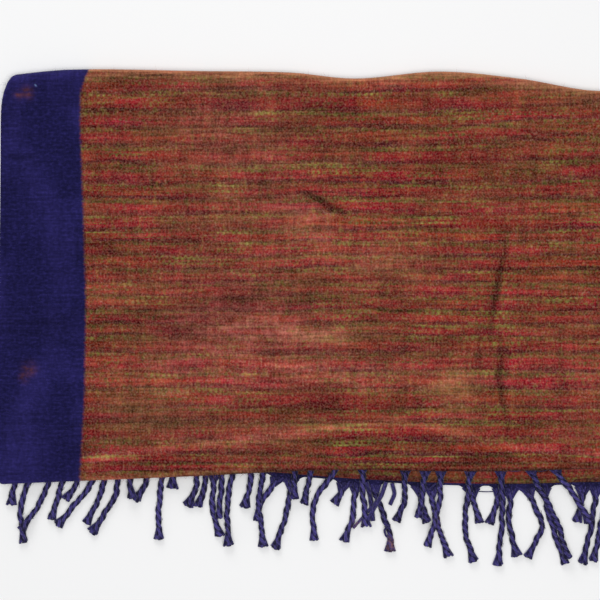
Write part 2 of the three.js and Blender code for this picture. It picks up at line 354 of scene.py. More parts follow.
def layer_heights(along, y):
    upper_end = edge_at("upper", along)
    lower_end = edge_at("lower", along)
    settled = ease((y - upper_end) / SETTLE_LENGTH)
    over_fringe = 1 - ease((y - upper_end - STRIP_DEPTH) / LIFT_LENGTH)
    droop = ease((lower_end - STRIP_DEPTH - y) / DROOP_LENGTH)
    first = np.zeros(y.shape) + SHEET / 2
    second = first + SHEET + mix(CLEAR, GAP, settled)
    third = first + 2 * PITCH + STRAND_LIFT * over_fringe - FRONT_DROOP * droop
    fourth = third + PITCH + ovals(SWELLS, along, y, FALL_OFF)
    return {"first": first, "second": second, "third": third, "fourth": fourth}


print("layers are", round(PITCH, 1), "mm apart")

# %% [markdown]
# One section, walked from end to end
# The cloth's middle line is walked at many places along the width at once: along the first
# layer to the back, over the thick fold, forward along the top, round the front fold, back in
# between, and out again to the upper end. Each point keeps its normal, so that the two faces
# of the sheet can be set off by half its thickness, as Solidify would do, but exactly.

# %% Walk the folded section
FOLD_EVEN = 40.0
FRONT_EVEN = 3.0
INNER_INSET = 5.0
FLAT_STEPS = {"first": 8, "fourth": 108, "third": 11, "second": 9}
BEND_STEPS = {"back": 13, "front": 9, "inner": 6}
RELIEF_RUN_IN = 12.0
SEEN_ALONG = 620.0
SEEN_STATIONS = 172
FAR_STATIONS = 112
SELVAGE_STEPS = [0.0, 0.5, 1.3, 2.6]


def stations():
    inner = SELVAGE_STEPS[-1]
    seen = np.linspace(inner, SEEN_ALONG, SEEN_STATIONS)
    far = np.linspace(SEEN_ALONG, WIDTH - inner, FAR_STATIONS)
    edge = np.array(SELVAGE_STEPS[:-1])
    return np.concatenate([edge, seen, far[1:], WIDTH - edge[::-1]])


def walk_section(along):
    """The middle line at every station: y, z, normal, draw-in and layer, as grids."""
    columns = []
    fold = edge_at("fold", along)
    back = back_at(along)
    lower_start = edge_at("lower", along) + STRIP_DEPTH + CLEAR
    upper_start = edge_at("upper", along) + STRIP_DEPTH + CLEAR
    at_back = layer_heights(along, back - FOLD_EVEN / 2)
    back_radius = (at_back["fourth"] - at_back["first"]) / 2
    back_middle = back - back_radius - SHEET / 2
    inner_radius = (at_back["third"] - at_back["second"]) / 2
    inner_middle = back_middle - INNER_INSET
    at_front = layer_heights(along, fold + FRONT_EVEN)
    front_radius = (at_front["fourth"] - at_front["third"]) / 2
    front_middle = fold + front_radius + SHEET / 2

    def flat(layer, start, end, up):
        for share in np.linspace(0, 1, FLAT_STEPS[layer]):
            y = mix(start, end, share)
            free = layer_heights(along, np.maximum(y, fold + FRONT_EVEN))[layer]
            z = mix(at_back[layer], free, ease((back_middle - y) / FOLD_EVEN))
            run_in = ease(np.minimum(back_middle - y, y - front_middle) / RELIEF_RUN_IN)
            relief = crease_at(along, y) + wave_at(along, y)
            z = z + RELIEF_SHARE[layer] * run_in * relief
            normal = (np.zeros(len(along)), np.full(len(along), float(up)))
            columns.append((y, z, *normal, np.full(len(along), DRAWN_IN[layer]), layer))

    def bend(middle, height, radius, start, end, name, side, layers):
        steps = BEND_STEPS[name]
        for i in range(1, steps):
            angle = math.radians(mix(start, end, i / steps))
            drawn_in = mix(DRAWN_IN[layers[0]], DRAWN_IN[layers[1]], i / steps)
            y = middle + radius * math.cos(angle)
            z = height + radius * math.sin(angle)
            ny = np.full(len(along), side * math.cos(angle))
            nz = np.full(len(along), side * math.sin(angle))
            columns.append((y, z, ny, nz, np.full(len(along), drawn_in), name))

    flat("first", lower_start, back_middle, 1)
    height = (at_back["first"] + at_back["fourth"]) / 2
    bend(back_middle, height, back_radius, -90, 90, "back", -1, ("first", "fourth"))
    flat("fourth", back_middle, front_middle, -1)
    height = (at_front["fourth"] + at_front["third"]) / 2
    bend(front_middle, height, front_radius, 90, 270, "front", -1, ("fourth", "third"))
    flat("third", front_middle, inner_middle, 1)
    height = (at_back["third"] + at_back["second"]) / 2
    bend(inner_middle, height, inner_radius, 90, -90, "inner", 1, ("third", "second"))
    flat("second", inner_middle, upper_start, -1)
    grids = [np.stack([column[i] for column in columns], axis=1) for i in range(5)]
    return (*grids, [column[5] for column in columns])


along = stations()
path_y, path_z, normal_y, normal_z, drawn_in, layer_names = walk_section(along)
print(len(along), "stations of", len(layer_names), "steps each")

# %% [markdown]
# The weave's own coordinates
# Stripes run across a woven cloth, so a pattern must know how far along the cloth a point is,
# folds included, and not where it lies in space. Every point keeps three numbers: its
# distance from the selvage, its distance along the cloth, and a stripe count that rises by
# one at each green row. The rows are a little uneven, as they are on this blanket, and their
# list repeats along the cloth.

# %% Measure along the cloth and count the stripes
# Distance along the cloth of the line on the top layer where y is nought
MIDDLE_DISTANCE = 604.0
# Distance of one green row, and the gaps from that row to the next ones
FIRST_GREEN = 405.0
GREEN_GAPS = [17, 20, 16, 18, 19, 19, 15, 16, 15, 12, 14, 14, 13, 14, 14, 14, 12, 17, 18, 18]
GREEN_GAPS += [19, 13, 19, 14, 8, 8]
GREEN_ROWS = FIRST_GREEN + np.cumsum([0, *GREEN_GAPS])
CLIMB_FROM = 440.0
CLIMB_SLOPE = 0.06
CLIMB_MOST = 11.0
CLIMB_NEAREST = 60.0
CLIMB_DEPTH = 90.0
# height, length across, length along, phase
WAVERS = [(0.6, 47, 60, 0), (0.3, 21, -33, 1)]


def along_cloth():
    steps = np.hypot(np.diff(path_y, axis=1), np.diff(path_z, axis=1))
    travelled = np.concatenate([np.zeros((len(along), 1)), np.cumsum(steps, axis=1)], axis=1)
    first_top = layer_names.index("fourth")
    start = MIDDLE_DISTANCE - path_y[:, first_top]
    v = travelled - travelled[:, first_top : first_top + 1] + start[:, None]
    # The rows run parallel to the woven ends, so both ends are evened out along the width
    to_top = travelled / travelled[:, first_top : first_top + 1]
    first_under = layer_names.index("third")
    past_top = travelled - travelled[:, first_under : first_under + 1]
    past_top = past_top / past_top[:, -1:]
    uneven_start = np.median(v[:, 0]) - v[:, :1]
    uneven_end = np.median(v[:, -1]) - v[:, -1:]
    return v + uneven_start * (1 - ease(to_top)) + uneven_end * ease(past_top)


def stripe_count(v):
    """Rows from the first green one. The list of rows is repeated in both directions."""
    repeat = GREEN_ROWS[-1] - GREEN_ROWS[0]
    turns = np.floor((v - GREEN_ROWS[0]) / repeat)
    numbers = np.arange(len(GREEN_ROWS))
    return np.interp(v - turns * repeat, GREEN_ROWS, numbers) + turns * numbers[-1]


def stripe_drift(along_grid, y):
    """The rows climb towards the right on the back half, and waver by about a millimetre."""
    climb = np.minimum(CLIMB_SLOPE * np.maximum(along_grid - CLIMB_FROM, 0), CLIMB_MOST)
    waver = sum(
        height * np.sin(along_grid / across + y / down + phase)
        for height, across, down, phase in WAVERS
    )
    return climb * ease((y - CLIMB_NEAREST) / CLIMB_DEPTH) + waver


weave_v = along_cloth()
along_grid = np.repeat(along[:, None], path_y.shape[1], axis=1)
rows = stripe_count(weave_v + stripe_drift(along_grid, path_y))
cloth_length = float(np.median(weave_v[:, -1] - weave_v[:, 0]))
print("length of the cloth along its folds:", round(cloth_length), "mm")

# %% [markdown]
# Marks that belong to a place
# Some things are tied to a place on the cloth: the pale brushed patches, two small rust-brown
# spots, and where the navy border ends. Painted light and painted shade lie in soft areas where
# the sheet lies in very low waves, and some rows lean to crimson or to olive for a hand's
# breadth. They could be painted on a picture, but ovals and short chains of points are easier
# to move, and the material roughens them later.

# %% Tables of brushed patches, tones and spots
# along, y, long, wide, turn in degrees, strength
BRUSHED = np.array(
    [
        [225, -52, 70, 36, 15, 0.9],
        [300, -60, 60, 16, 0, 0.7],
        [160, -145, 60, 26, 0, 0.45],
        [250, -165, 50, 18, 8, 0.45],
        [300, 60, 34, 22, -30, 0.5],
        [395, 8, 60, 20, 0, 0.35],
        [360, -100, 70, 22, 0, 0.4],
        [225, 165, 70, 34, 0, 0.4],
        [235, 120, 60, 26, -10, 0.35],
        [560, 190, 70, 10, -8, 0.5],
        [225, 30, 90, 110, 0, 0.3],
        [760, -20, 120, 40, 10, 0.6],
        [960, 80, 110, 40, -12, 0.55],
        [1140, -90, 90, 50, 8, 0.5],
    ]
)
# along, y, long, wide, turn in degrees, painted light, and below nought painted shade
SOFT_SHADING = np.array(
    [
        [330, -101, 300, 17, 0, 0.6],
        [285, -92, 80, 10, -10, 0.7],
        [300, -59, 50, 8, -5, 1.0],
        [455, -122, 34, 32, 0, 0.6],
        [575, -90, 50, 60, 0, 0.35],
        [300, 56, 60, 12, -12, 0.6],
        [480, 62, 70, 14, 0, 0.4],
        [340, 26, 90, 10, 4, 0.5],
        [370, 12, 50, 8, 8, 0.5],
        [470, -15, 60, 20, 0, 0.4],
        [110, 66, 40, 12, 0, 0.4],
        [120, -18, 60, 10, 0, 0.3],
        [150, -100, 70, 16, 0, 0.35],
        [110, -44, 90, 9, 6, -0.8],
        [170, -52, 50, 12, 12, -0.6],
        [290, -27, 110, 9, 0, -0.6],
        [340, -133, 120, 10, 0, -0.6],
        [190, -145, 110, 12, 0, -0.5],
        [480, -188, 130, 9, 0, -0.7],
        [100, 24, 40, 12, 0, -0.5],
        [130, 192, 90, 12, 0, -0.55],
        [500, 186, 100, 9, -4, -0.5],
        [330, 171, 260, 5, 0, -0.35],
        [470, 114, 70, 6, 0, -0.3],
        [490, 52, 60, 8, 0, -0.4],
        [800, 60, 120, 14, 8, 0.5],
        [900, -40, 160, 16, -6, 0.5],
        [1060, -120, 120, 12, 4, 0.5],
        [760, -110, 100, 12, 6, -0.5],
        [1010, 20, 130, 12, -4, -0.5],
        [1150, 120, 90, 14, 0, 0.4],
    ]
)
# along, y, long, wide, turn in degrees, towards crimson or, below nought, towards olive
HUES = np.array(
    [
        [105, 154, 28, 7, 0, 0.7],
        [200, 176, 120, 5, 0, 0.5],
        [300, 131, 22, 9, 0, 0.8],
        [470, 171, 90, 6, -2, 0.9],
        [470, 114, 65, 6, 0, 0.7],
        [490, 56, 50, 8, 0, 0.7],
        [335, -126, 110, 12, 0, 0.6],
        [190, -16, 40, 12, 0, 0.5],
        [120, -186, 60, 6, 8, 0.6],
        [440, -160, 80, 8, -6, 0.6],
        [860, 100, 110, 9, 0, 0.8],
        [1040, -70, 120, 10, 0, 0.8],
        [310, -60, 30, 8, 0, -0.6],
        [140, -130, 45, 20, 0, -0.7],
        [460, -120, 30, 34, 0, -0.7],
        [300, 46, 40, 9, 0, -0.5],
        [385, 14, 50, 12, 8, -0.5],
        [470, 80, 60, 9, 0, -0.4],
        [500, 148, 60, 12, 0, -0.4],
        [340, -24, 70, 9, 0, -0.5],
        [740, 10, 80, 18, 0, -0.6],
        [960, -120, 90, 20, 0, -0.6],
    ]
)
# A level, a half width and the points of a painted highlight on a long, low ridge near the front,
# and of the painted shade on its dark side
FRONT_RIDGE_SHADING = [
    (1.3, 4.2, [(84, -186), (170, -174), (250, -164), (330, -154)]),
    (0.9, 4.5, [(330, -154), (395, -148), (430, -152), (480, -166), (540, -176), (600, -180)]),
    (0.8, 5.0, [(600, -180), (700, -170), (820, -178)]),
    (-0.5, 6.0, [(84, -196), (170, -185), (250, -177), (330, -168), (400, -163), (450, -170)]),
]
# along, y, radius
RUST_SPOTS = np.array([[27, 182, 5.0], [18, 179, 3.5], [30, -95, 5.5], [24, -104, 3.5]])
LINT_SPOTS = np.array([[35, 190, 1.1], [34, 186.5, 1.0], [38, 184.5, 1.0], [46, 184, 0.7]])
# y, width of the border
BORDER = np.array(
    [[-210, 80], [-196, 81], [-126, 85], [-26, 86], [74, 83], [124, 81], [150, 80]]
    + [[182, 80], [194, 84], [206, 89]],
    float,
)

print(len(BRUSHED), "brushed patches,", len(SOFT_SHADING), "tones and", len(HUES), "hues")

# %% [markdown]
# What a place on the cloth knows
# Each point of the mesh keeps smooth values: how far it is from the border, how deep a crease
# is there, with painted shade on the front fold, how much painted highlight the folds get, and
# how long the nap stands. A mask limits most of them to the top layer and the two outer folds,
# because the rest is hidden.

# %% Turn the tables into values on the cloth
# Distances from the folds over which the painted rim highlights and the painted shade fade
BACK_RIM = 9.0
FRONT_RIM = 3.0
FRONT_SHADE = 3.4
# Painted shade where the front fold turns its underside away from the light, but for its left part
SHADE_DEPTH = 1.6
SHADE_FROM = 170.0
SHADE_RUN_IN = 60.0
# The painted highlight of the back fold lies mostly on its upper half
LOW_RIM = 0.4
LOW_RIM_HEIGHT = 3.5
LOW_RIM_FADE = 4.5
# The painted highlight of the front fold lies mostly at the left
LEFT_RIM = 0.9
RIGHT_RIM = 0.15
LEFT_RIM_END = 150.0
LEFT_RIM_FADE = 200.0
# Where light is painted, the nap is brushed a little too
BRUSHED_WHERE_LIT = 0.25
SOFT_LIGHT_MOST = 1.5
NAP_ON_TOP = 0.75
NAP_ON_FOLDS = 1.6
NAP_ON_RIMS = 3.6
NAP_FROM = 9.5
NAP_RUN_IN = 2.0


def spots(table, along, y):
    total = np.zeros(along.shape)
    for middle, across, radius in table:
        total += np.exp(-(((along - middle) ** 2 + (y - across) ** 2) / radius**2))
    return total


# Painted light and shade of the low waves, and of the long ridge near the front
def soft_shading_at(along, y):
    total = ovals(SOFT_SHADING, along, y)
    for level, half_width, points in FRONT_RIDGE_SHADING:
        distance, _ = chain_distance(along, y, points)
        total += level * np.exp(-((distance / half_width) ** 2))
    return total


def from_border():
    width = np.interp(path_y, BORDER[:, 0], BORDER[:, 1])
    return np.minimum(along_grid, WIDTH - along_grid) - width


def rim_highlights(outside, from_front):
    """How much painted highlight the nap on the back fold and on the front fold gets."""
    from_back = back_at(along)[:, None] - path_y
    upper_half = mix(LOW_RIM, 1.0, ease((path_z - LOW_RIM_HEIGHT) / LOW_RIM_FADE))
    back = np.exp(-((from_back / BACK_RIM) ** 2)) * outside * upper_half
    strength = mix(LEFT_RIM, RIGHT_RIM, ease((along_grid - LEFT_RIM_END) / LEFT_RIM_FADE))
    return back + strength * np.exp(-((from_front / FRONT_RIM) ** 2)) * outside


def make_marks():
    """Every mark by its name, as a grid of values."""
    names = np.array(layer_names)
    on_top = (names == "fourth").astype(float)[None, :]
    on_fold = np.isin(names, ["back", "front"]).astype(float)[None, :]
    outside = on_top + on_fold
    from_front = path_y - edge_at("fold", along)[:, None]
    # Painted shade on the front fold's edge, where it turns away from the light
    front_fold_shade = ease((along_grid - SHADE_FROM) / SHADE_RUN_IN)
    front_fold_shade = front_fold_shade * np.exp(-((from_front / FRONT_SHADE) ** 2))
    rim = np.clip(rim_highlights(outside, from_front), 0, 1)
    tone = soft_shading_at(along_grid, path_y)
    brushed = ovals(BRUSHED, along_grid, path_y) + BRUSHED_WHERE_LIT * np.clip(tone, 0, SOFT_LIGHT_MOST)
    nap = NAP_ON_TOP * on_top + NAP_ON_FOLDS * on_fold + NAP_ON_RIMS * rim
    return {
        "border": from_border(),
        # Crease depth, and below nought the painted shade of the front fold
        "crease": crease_at(along_grid, path_y) * on_top - SHADE_DEPTH * front_fold_shade * outside,
        "rim": rim,
        "brushed": brushed * on_top,
        "rust": spots(RUST_SPOTS, along_grid, path_y) * on_top,
        "lint": spots(LINT_SPOTS, along_grid, path_y) * on_top,
        "tone": tone,
        "hue": ovals(HUES, along_grid, path_y),
        "nap": nap * ease((path_z - NAP_FROM) / NAP_RUN_IN),
    }


marks = make_marks()
for name, values in marks.items():
    print(name, "from", round(float(values.min()), 2), "to", round(float(values.max()), 2))

# %% [markdown]
# The sheet as one closed mesh
# The two faces of the sheet form a ring at each station, and the rings are joined into one
# closed skin. Writing the arrays straight into the mesh is much quicker than adding faces one
# by one. The sheet thins at its selvages, where the weft turns back, and each layer's
# selvage wanders by a fraction of a millimetre.

# %% Build the cloth
SELVAGE_THIN = [0.4, 0.78, 0.95]
SELVAGE_SOFT = 30.0
# height, length, how often the side's own phase counts
SELVAGE_WAVES = [(0.5, 171.0, 1), (0.35, 65.7, 2)]
LEFT_PHASE = 0.4
RIGHT_PHASE = 2.1


def selvage_thickness():
    factor = np.ones(len(along))
    factor[: len(SELVAGE_THIN)] = SELVAGE_THIN
    factor[-len(SELVAGE_THIN) :] = SELVAGE_THIN[::-1]
    return factor[:, None]


def selvage_wander(phase):
    return sum(
        height * np.sin(weave_v / length + times * phase) for height, length, times in SELVAGE_WAVES
    )


def ring_grid(values):
    """Values on one face of the sheet, followed by the same values on the other, reversed."""
    return np.concatenate([values, values[:, ::-1]], axis=1)


def cloth_points():
    half = SHEET / 2 * selvage_thickness()
    near_left = ease(1 - along_grid / SELVAGE_SOFT)
    near_right = ease(1 - (WIDTH - along_grid) / SELVAGE_SOFT)
    x = place_x(along_grid, drawn_in)
    x = x + near_left * selvage_wander(LEFT_PHASE) - near_right * selvage_wander(RIGHT_PHASE)
    right = np.stack([x, path_y - normal_y * half, path_z - normal_z * half], axis=2)
    left = np.stack([x, path_y + normal_y * half, path_z + normal_z * half], axis=2)
    return np.concatenate([right, left[:, ::-1]], axis=1) * MM


def ring_faces(rings, size):
    """Quads between one ring and the next, and a strip of quads that closes either end."""
    near = (np.arange(rings - 1) * size)[:, None]
    j = np.arange(size)[None, :]
    k = (j + 1) % size
    sides = np.stack([near + j, near + k, near + size + k, near + size + j], axis=2)
    i = np.arange(size // 2 - 1)
    start = np.stack([i + 1, i, size - 1 - i, size - 2 - i], axis=1)
    end = start[:, ::-1] + (rings - 1) * size
    return np.concatenate([sides.reshape(-1, 4), start, end])


def mesh_from_arrays(name, points, quads):
    mesh = bpy.data.meshes.new(name)
    mesh.vertices.add(len(points))
    mesh.vertices.foreach_set("co", points.astype(np.float32).ravel())
    mesh.loops.add(quads.size)
    mesh.loops.foreach_set("vertex_index", quads.astype(np.int32).ravel())
    mesh.polygons.add(len(quads))
    mesh.polygons.foreach_set("loop_start", np.arange(0, quads.size, 4, dtype=np.int32))
    mesh.update(calc_edges=True)
    mesh.validate()
    mesh.polygons.foreach_set("use_smooth", np.ones(len(mesh.polygons), dtype=bool))
    return mesh


def add_numbers(mesh, name, *values):
    """One float attribute, or a vector of three, on the points of a mesh."""
    if len(values) == 1:
        attribute = mesh.attributes.new(name, "FLOAT", "POINT")
        attribute.data.foreach_set("value", values[0].astype(np.float32).ravel())
        return
    attribute = mesh.attributes.new(name, "FLOAT_VECTOR", "POINT")
    triples = np.stack([value.ravel() for value in values], axis=1)
    attribute.data.foreach_set("vector", triples.astype(np.float32).ravel())


def signed_volume(mesh):
    mesh.calc_loop_triangles()
    corners = np.empty(len(mesh.loop_triangles) * 3, dtype=np.int32)
    mesh.loop_triangles.foreach_get("vertices", corners)
    points = np.empty(len(mesh.vertices) * 3)
    mesh.vertices.foreach_get("co", points)
    a, b, c = points.reshape(-1, 3)[corners.reshape(-1, 3)].transpose(1, 0, 2)
    return float(np.einsum("ij,ij->i", a, np.cross(b, c)).sum() / 6)


def describe(mesh):
    triangles = sum(len(polygon.vertices) - 2 for polygon in mesh.polygons)
    return f"{triangles} triangles, {signed_volume(mesh) * 1e6:.1f} cubic centimetres"


def build_cloth():
    points = cloth_points()
    mesh = mesh_from_arrays("blanket_cloth", points.reshape(-1, 3), ring_faces(*points.shape[:2]))
    outer = np.concatenate([np.ones(path_y.shape), np.zeros(path_y.shape)], axis=1)
    weave = (along_grid * MM, weave_v * MM, rows)
    add_numbers(mesh, "weave", *[ring_grid(values) for values in weave])
    places = (marks["border"] * MM, marks["crease"], marks["rim"])
    add_numbers(mesh, "marks", *[ring_grid(values) for values in places])
    patches = [ring_grid(marks[name]) * outer for name in ("brushed", "rust", "lint")]
    add_numbers(mesh, "patches", *patches)
    for name in ("tone", "hue", "nap"):
        add_numbers(mesh, name, ring_grid(marks[name]) * outer)
    return add_object("blanket_cloth", mesh)


cloth = build_cloth()
print("cloth:", describe(cloth.data))

# %% [markdown]
# A short way to write node trees
# Materials and Geometry Nodes are both trees of nodes. This helper adds a node and either
# sets or links each input, so that a tree reads like a list of its steps.

# %% Helper for node trees
class Nodes:
    """Adds nodes to a tree. An input given as a socket is linked, and any other is set."""

    def __init__(self, tree):
        self.tree = tree

    def add(self, kind, inputs=(), **settings):
        node = self.tree.nodes.new(kind)
        for name, value in settings.items():
            setattr(node, name, value)
        for place, value in dict(inputs).items():
            self.put(node.inputs[place], value)
        return node

    def put(self, socket, value):
        if isinstance(value, bpy.types.NodeSocket):
            self.tree.links.new(value, socket)
        else:
            socket.default_value = value

    def random(self, **given):
        """A random number for each item. Only the sockets for plain numbers are switched on."""
        node = self.add("FunctionNodeRandomValue", data_type="FLOAT")
        for name, value in given.items():
            self.put(next(s for s in node.inputs if s.name == name and s.enabled), value)
        return next(s for s in node.outputs if s.enabled)

    def math(self, operation, a, b=0.0, c=0.0):
        return self.add("ShaderNodeMath", {0: a, 1: b, 2: c}, operation=operation).outputs[0]

    def vector(self, operation, a, b=(0, 0, 0)):
        return self.add("ShaderNodeVectorMath", {0: a, 1: b}, operation=operation).outputs[0]

    def scaled(self, vector, factor):
        node = self.add("ShaderNodeVectorMath", {0: vector, 3: factor}, operation="SCALE")
        return node.outputs[0]

    def join(self, x=0.0, y=0.0, z=0.0):
        return self.add("ShaderNodeCombineXYZ", {0: x, 1: y, 2: z}).outputs[0]

    def split(self, vector):
        return self.add("ShaderNodeSeparateXYZ", {0: vector}).outputs

    def attribute(self, name, output="Fac"):
        return self.add("ShaderNodeAttribute", attribute_name=name).outputs[output]

    def noise(self, vector, scale=1.0, detail=2.0):
        inputs = {"Vector": vector, "Scale": scale, "Detail": detail}
        return self.add("ShaderNodeTexNoise", inputs).outputs[0]

    def between(self, value, low, high, start=0.0, end=1.0):
        inputs = {"Value": value, "From Min": low, "From Max": high, "To Min": start, "To Max": end}
        node = self.add("ShaderNodeMapRange", inputs, interpolation_type="SMOOTHSTEP")
        return node.outputs[0]

    def blend(self, factor, a, b, way="MIX"):
        inputs = {0: factor, 6: a, 7: b}
        settings = {"data_type": "RGBA", "blend_type": way, "clamp_factor": True}
        return self.add("ShaderNodeMix", inputs, **settings).outputs[2]

    def ramp(self, factor, stops):
        """Levels at places along a ramp from 0 to 1."""
        node = self.add("ShaderNodeValToRGB", {0: factor})
        elements = node.color_ramp.elements
        while len(elements) < len(stops):
            elements.new(1.0)
        for element, (place, level) in zip(elements, stops):
            element.position = place
            element.color = (level, level, level, 1.0)
        return node.outputs[0]

    def bump(self, height, strength, distance):
        inputs = {"Strength": strength, "Distance": distance, "Height": height}
        return self.add("ShaderNodeBump", inputs).outputs[0]


def new_material(name):
    """A material, a helper for its nodes and its shader."""
    material = bpy.data.materials.new(name)
    material.use_nodes = True
    return material, Nodes(material.node_tree), material.node_tree.nodes["Principled BSDF"]


def colour(red, green, blue):
    """A colour as a picture shows it, from 0 to 255, turned into the light that it stands for."""
    levels = [channel / 255 for channel in (red, green, blue)]
    light = [c / 12.92 if c <= 0.04045 else ((c + 0.055) / 1.055) ** 2.4 for c in levels]
    return (*light, 1.0)


print("mid grey as light:", [round(c, 3) for c in colour(128, 128, 128)])

# %% [markdown]
# Noise that follows the weave
# Nothing on brushed wool is even. A noise that is read at a place on the cloth, so far across
# and so far along, stays on the cloth when it folds. Stretched one way it becomes a thread,
# and the other way a streak. The tables keep each kind under a plain name, with how fine it
# is and what it is turned into, because loose numbers in a tree are hard to change later.

# %% Noises stretched on the weave
# name: changes a metre across and along, seed, detail, range of the noise, range it becomes
MOTTLES = {
    "picks": (20.0, 330.0, 5.0, 2.0, 0.36, 0.64, -0.22, 0.22),
    "ends": (430.0, 110.0, 9.0, 2.0, 0.36, 0.64, -0.15, 0.15),
    "broad threads": (120.0, 17.0, 29.0, 2.0, 0.36, 0.64, -0.11, 0.11),
    "fine fibres": (470.0, 400.0, 31.0, 2.0, 0.36, 0.64, -0.1, 0.1),
    "loose fibres": (560.0, 520.0, 33.0, 2.0, 0.38, 0.7, -0.16, 0.42),
    "wide clouds": (7.0, 15.0, 91.0, 3.0, 0.34, 0.66, -0.1, 0.1),
    "small clouds": (24.0, 62.0, 95.0, 2.0, 0.34, 0.66, -0.13, 0.13),
    "olive flecks": (210.0, 190.0, 14.0, 2.0, 0.5, 0.66, 0.0, 0.26),
    "red flecks": (120.0, 220.0, 23.0, 2.0, 0.48, 0.64, 0.0, 0.38),
    "green flecks": (190.0, 110.0, 19.0, 2.0, 0.56, 0.72, 0.0, 0.3),
    "pale flecks": (480.0, 420.0, 37.0, 2.0, 0.52, 0.7, 0.0, 0.38),
    "olive areas": (11.0, 34.0, 81.0, 2.0, 0.5, 0.7, 0.0, 0.2),
    "worn areas": (9.0, 14.0, 61.0, 2.0, 0.42, 0.68, 0.0, 0.35),
    "uneven": (30.0, 110.0, 47.0, 2.0, 0.3, 0.7, 0.6, 1.3),
    "rim streaks": (26.0, 260.0, 71.0, 2.0, 0.36, 0.6, 0.25, 1.0),
    "navy haze": (22.0, 12.0, 2.0, 4.0, 0.4, 0.7, 0.0, 0.3),
}
THREADS = ["picks", "ends", "broad threads", "fine fibres"]
FLOAT_WIDTH = 0.0061
FLOAT_HEIGHT = 0.0052
FLOAT_SWAY = 0.010
FLOAT_NOISE = (60.0, 45.0, 51.0)
FLOAT_COLUMNS = 0.34
FLOAT_LINES = 0.16


def stretched(n, at, per_u, per_v, seed, detail=2.0):
    """Noise with its own scale across and along the cloth."""
    place = n.join(n.math("MULTIPLY", at.u, per_u), n.math("MULTIPLY", at.v, per_v), seed)
    return n.noise(place, detail=detail)


def mottle(n, at, name):
    """A noise of the first table, turned into its own range."""
    *scales, low, high, start, end = MOTTLES[name]
    return n.between(stretched(n, at, *scales), low, high, start, end)


def woven_floats(n, at):
    """Where yarn floats over the others: a loose brick pattern from 0 to 1."""
    sway = n.math("MULTIPLY", stretched(n, at, *FLOAT_NOISE), FLOAT_SWAY)
    down = n.math("DIVIDE", at.v, FLOAT_HEIGHT)
    shift = n.math("MULTIPLY", n.math("FLOOR", down), 0.5)
    across = n.math("ADD", n.math("DIVIDE", n.math("ADD", at.u, sway), FLOAT_WIDTH), shift)
    columns = n.math("SINE", n.math("MULTIPLY", across, 2 * math.pi))
    lines = n.math("SINE", n.math("MULTIPLY", down, 2 * math.pi))
    level = n.math("MULTIPLY_ADD", lines, FLOAT_LINES, 0.5)
    return n.math("MULTIPLY_ADD", columns, FLOAT_COLUMNS, level)


print(len(MOTTLES), "kinds of noise, and floats of", round(FLOAT_WIDTH / MM, 1), "mm")

# %% [markdown]
# Wool, striped row by row
# Each stripe of the real cloth is a few wefts of one yarn, and the yarn itself drifts from
# brick to crimson or from olive to yellow green along its length. The stripe count gives the
# place within a row, and a noise that is stretched along the row gives the drift. A bitmap
# could show one cloth only; this pattern follows the folds and never repeats.

# %% Colours of the striped ground
BRICK = colour(170, 62, 40)
CRIMSON = colour(174, 34, 50)
PINK_RED = colour(182, 46, 64)
RUST = colour(138, 56, 40)
OLIVE = colour(116, 100, 50)
YELLOW_GREEN = colour(156, 154, 74)
DARK_BROWN = colour(58, 28, 22)
PLUM = colour(92, 27, 48)
SHORN = colour(134, 66, 48)
RUST_TO_OLIVE = 0.3
MUTED = tuple(mix(rust, olive, RUST_TO_OLIVE) for rust, olive in zip(RUST, OLIVE))
# changes a metre across and along, seed, how many rows a thread is moved
ROW_SHIFTS = [
    (14.0, 40.0, 3.1, 0.4),
    (14.0, 260.0, 5.7, 0.65),
    (260.0, 220.0, 7.0, 0.4),
]
# Where in a row each yarn lies: a place from 0 to 1, and how much of the yarn is there
ROW_PARTS = {
    "red": [(0.22, 0), (0.4, 1), (0.76, 1), (0.92, 0.3)],
    "green": [(0.0, 0.6), (0.07, 1), (0.14, 1), (0.32, 0), (0.9, 0), (1.0, 0.6)],
    "dark": [(0.0, 0.6), (0.1, 0), (0.72, 0), (0.88, 1), (0.94, 1), (1.0, 0.6)],
    "second green": [(0.34, 0), (0.44, 1), (0.52, 1), (0.62, 0)],
    "plum": [(0.6, 0), (0.82, 1), (1.0, 1)],
}
# name: changes a metre along the row, seed, range of the noise
DRIFTS = {
    "brick to crimson": (15.0, 1.7, 0.34, 0.6),
    "red to pink": (15.0, 2.9, 0.54, 0.68),
    "rust to olive": (13.0, 4.1, 0.35, 0.65),
    "olive to green": (22.0, 12.9, 0.45, 0.66),
    "brown to plum": (11.0, 21.3, 0.42, 0.58),
    "red": (13.0, 8.3, 0.24, 0.5),
    "green": (13.0, 15.7, 0.34, 0.58),
    "second green": (15.0, 33.1, 0.44, 0.62),
    "dark": (12.0, 25.1, 0.32, 0.56),
}
NEXT_ROW = 5.3
PLUM_COVER = 0.6
RED_COVER = 0.9
DARK_COVER = 0.75
SECOND_GREEN = 0.75
GREEN_LEAST = 0.2
GREEN_ON_FLOATS = 2.0
GREEN_OFF_FLOATS = -0.2


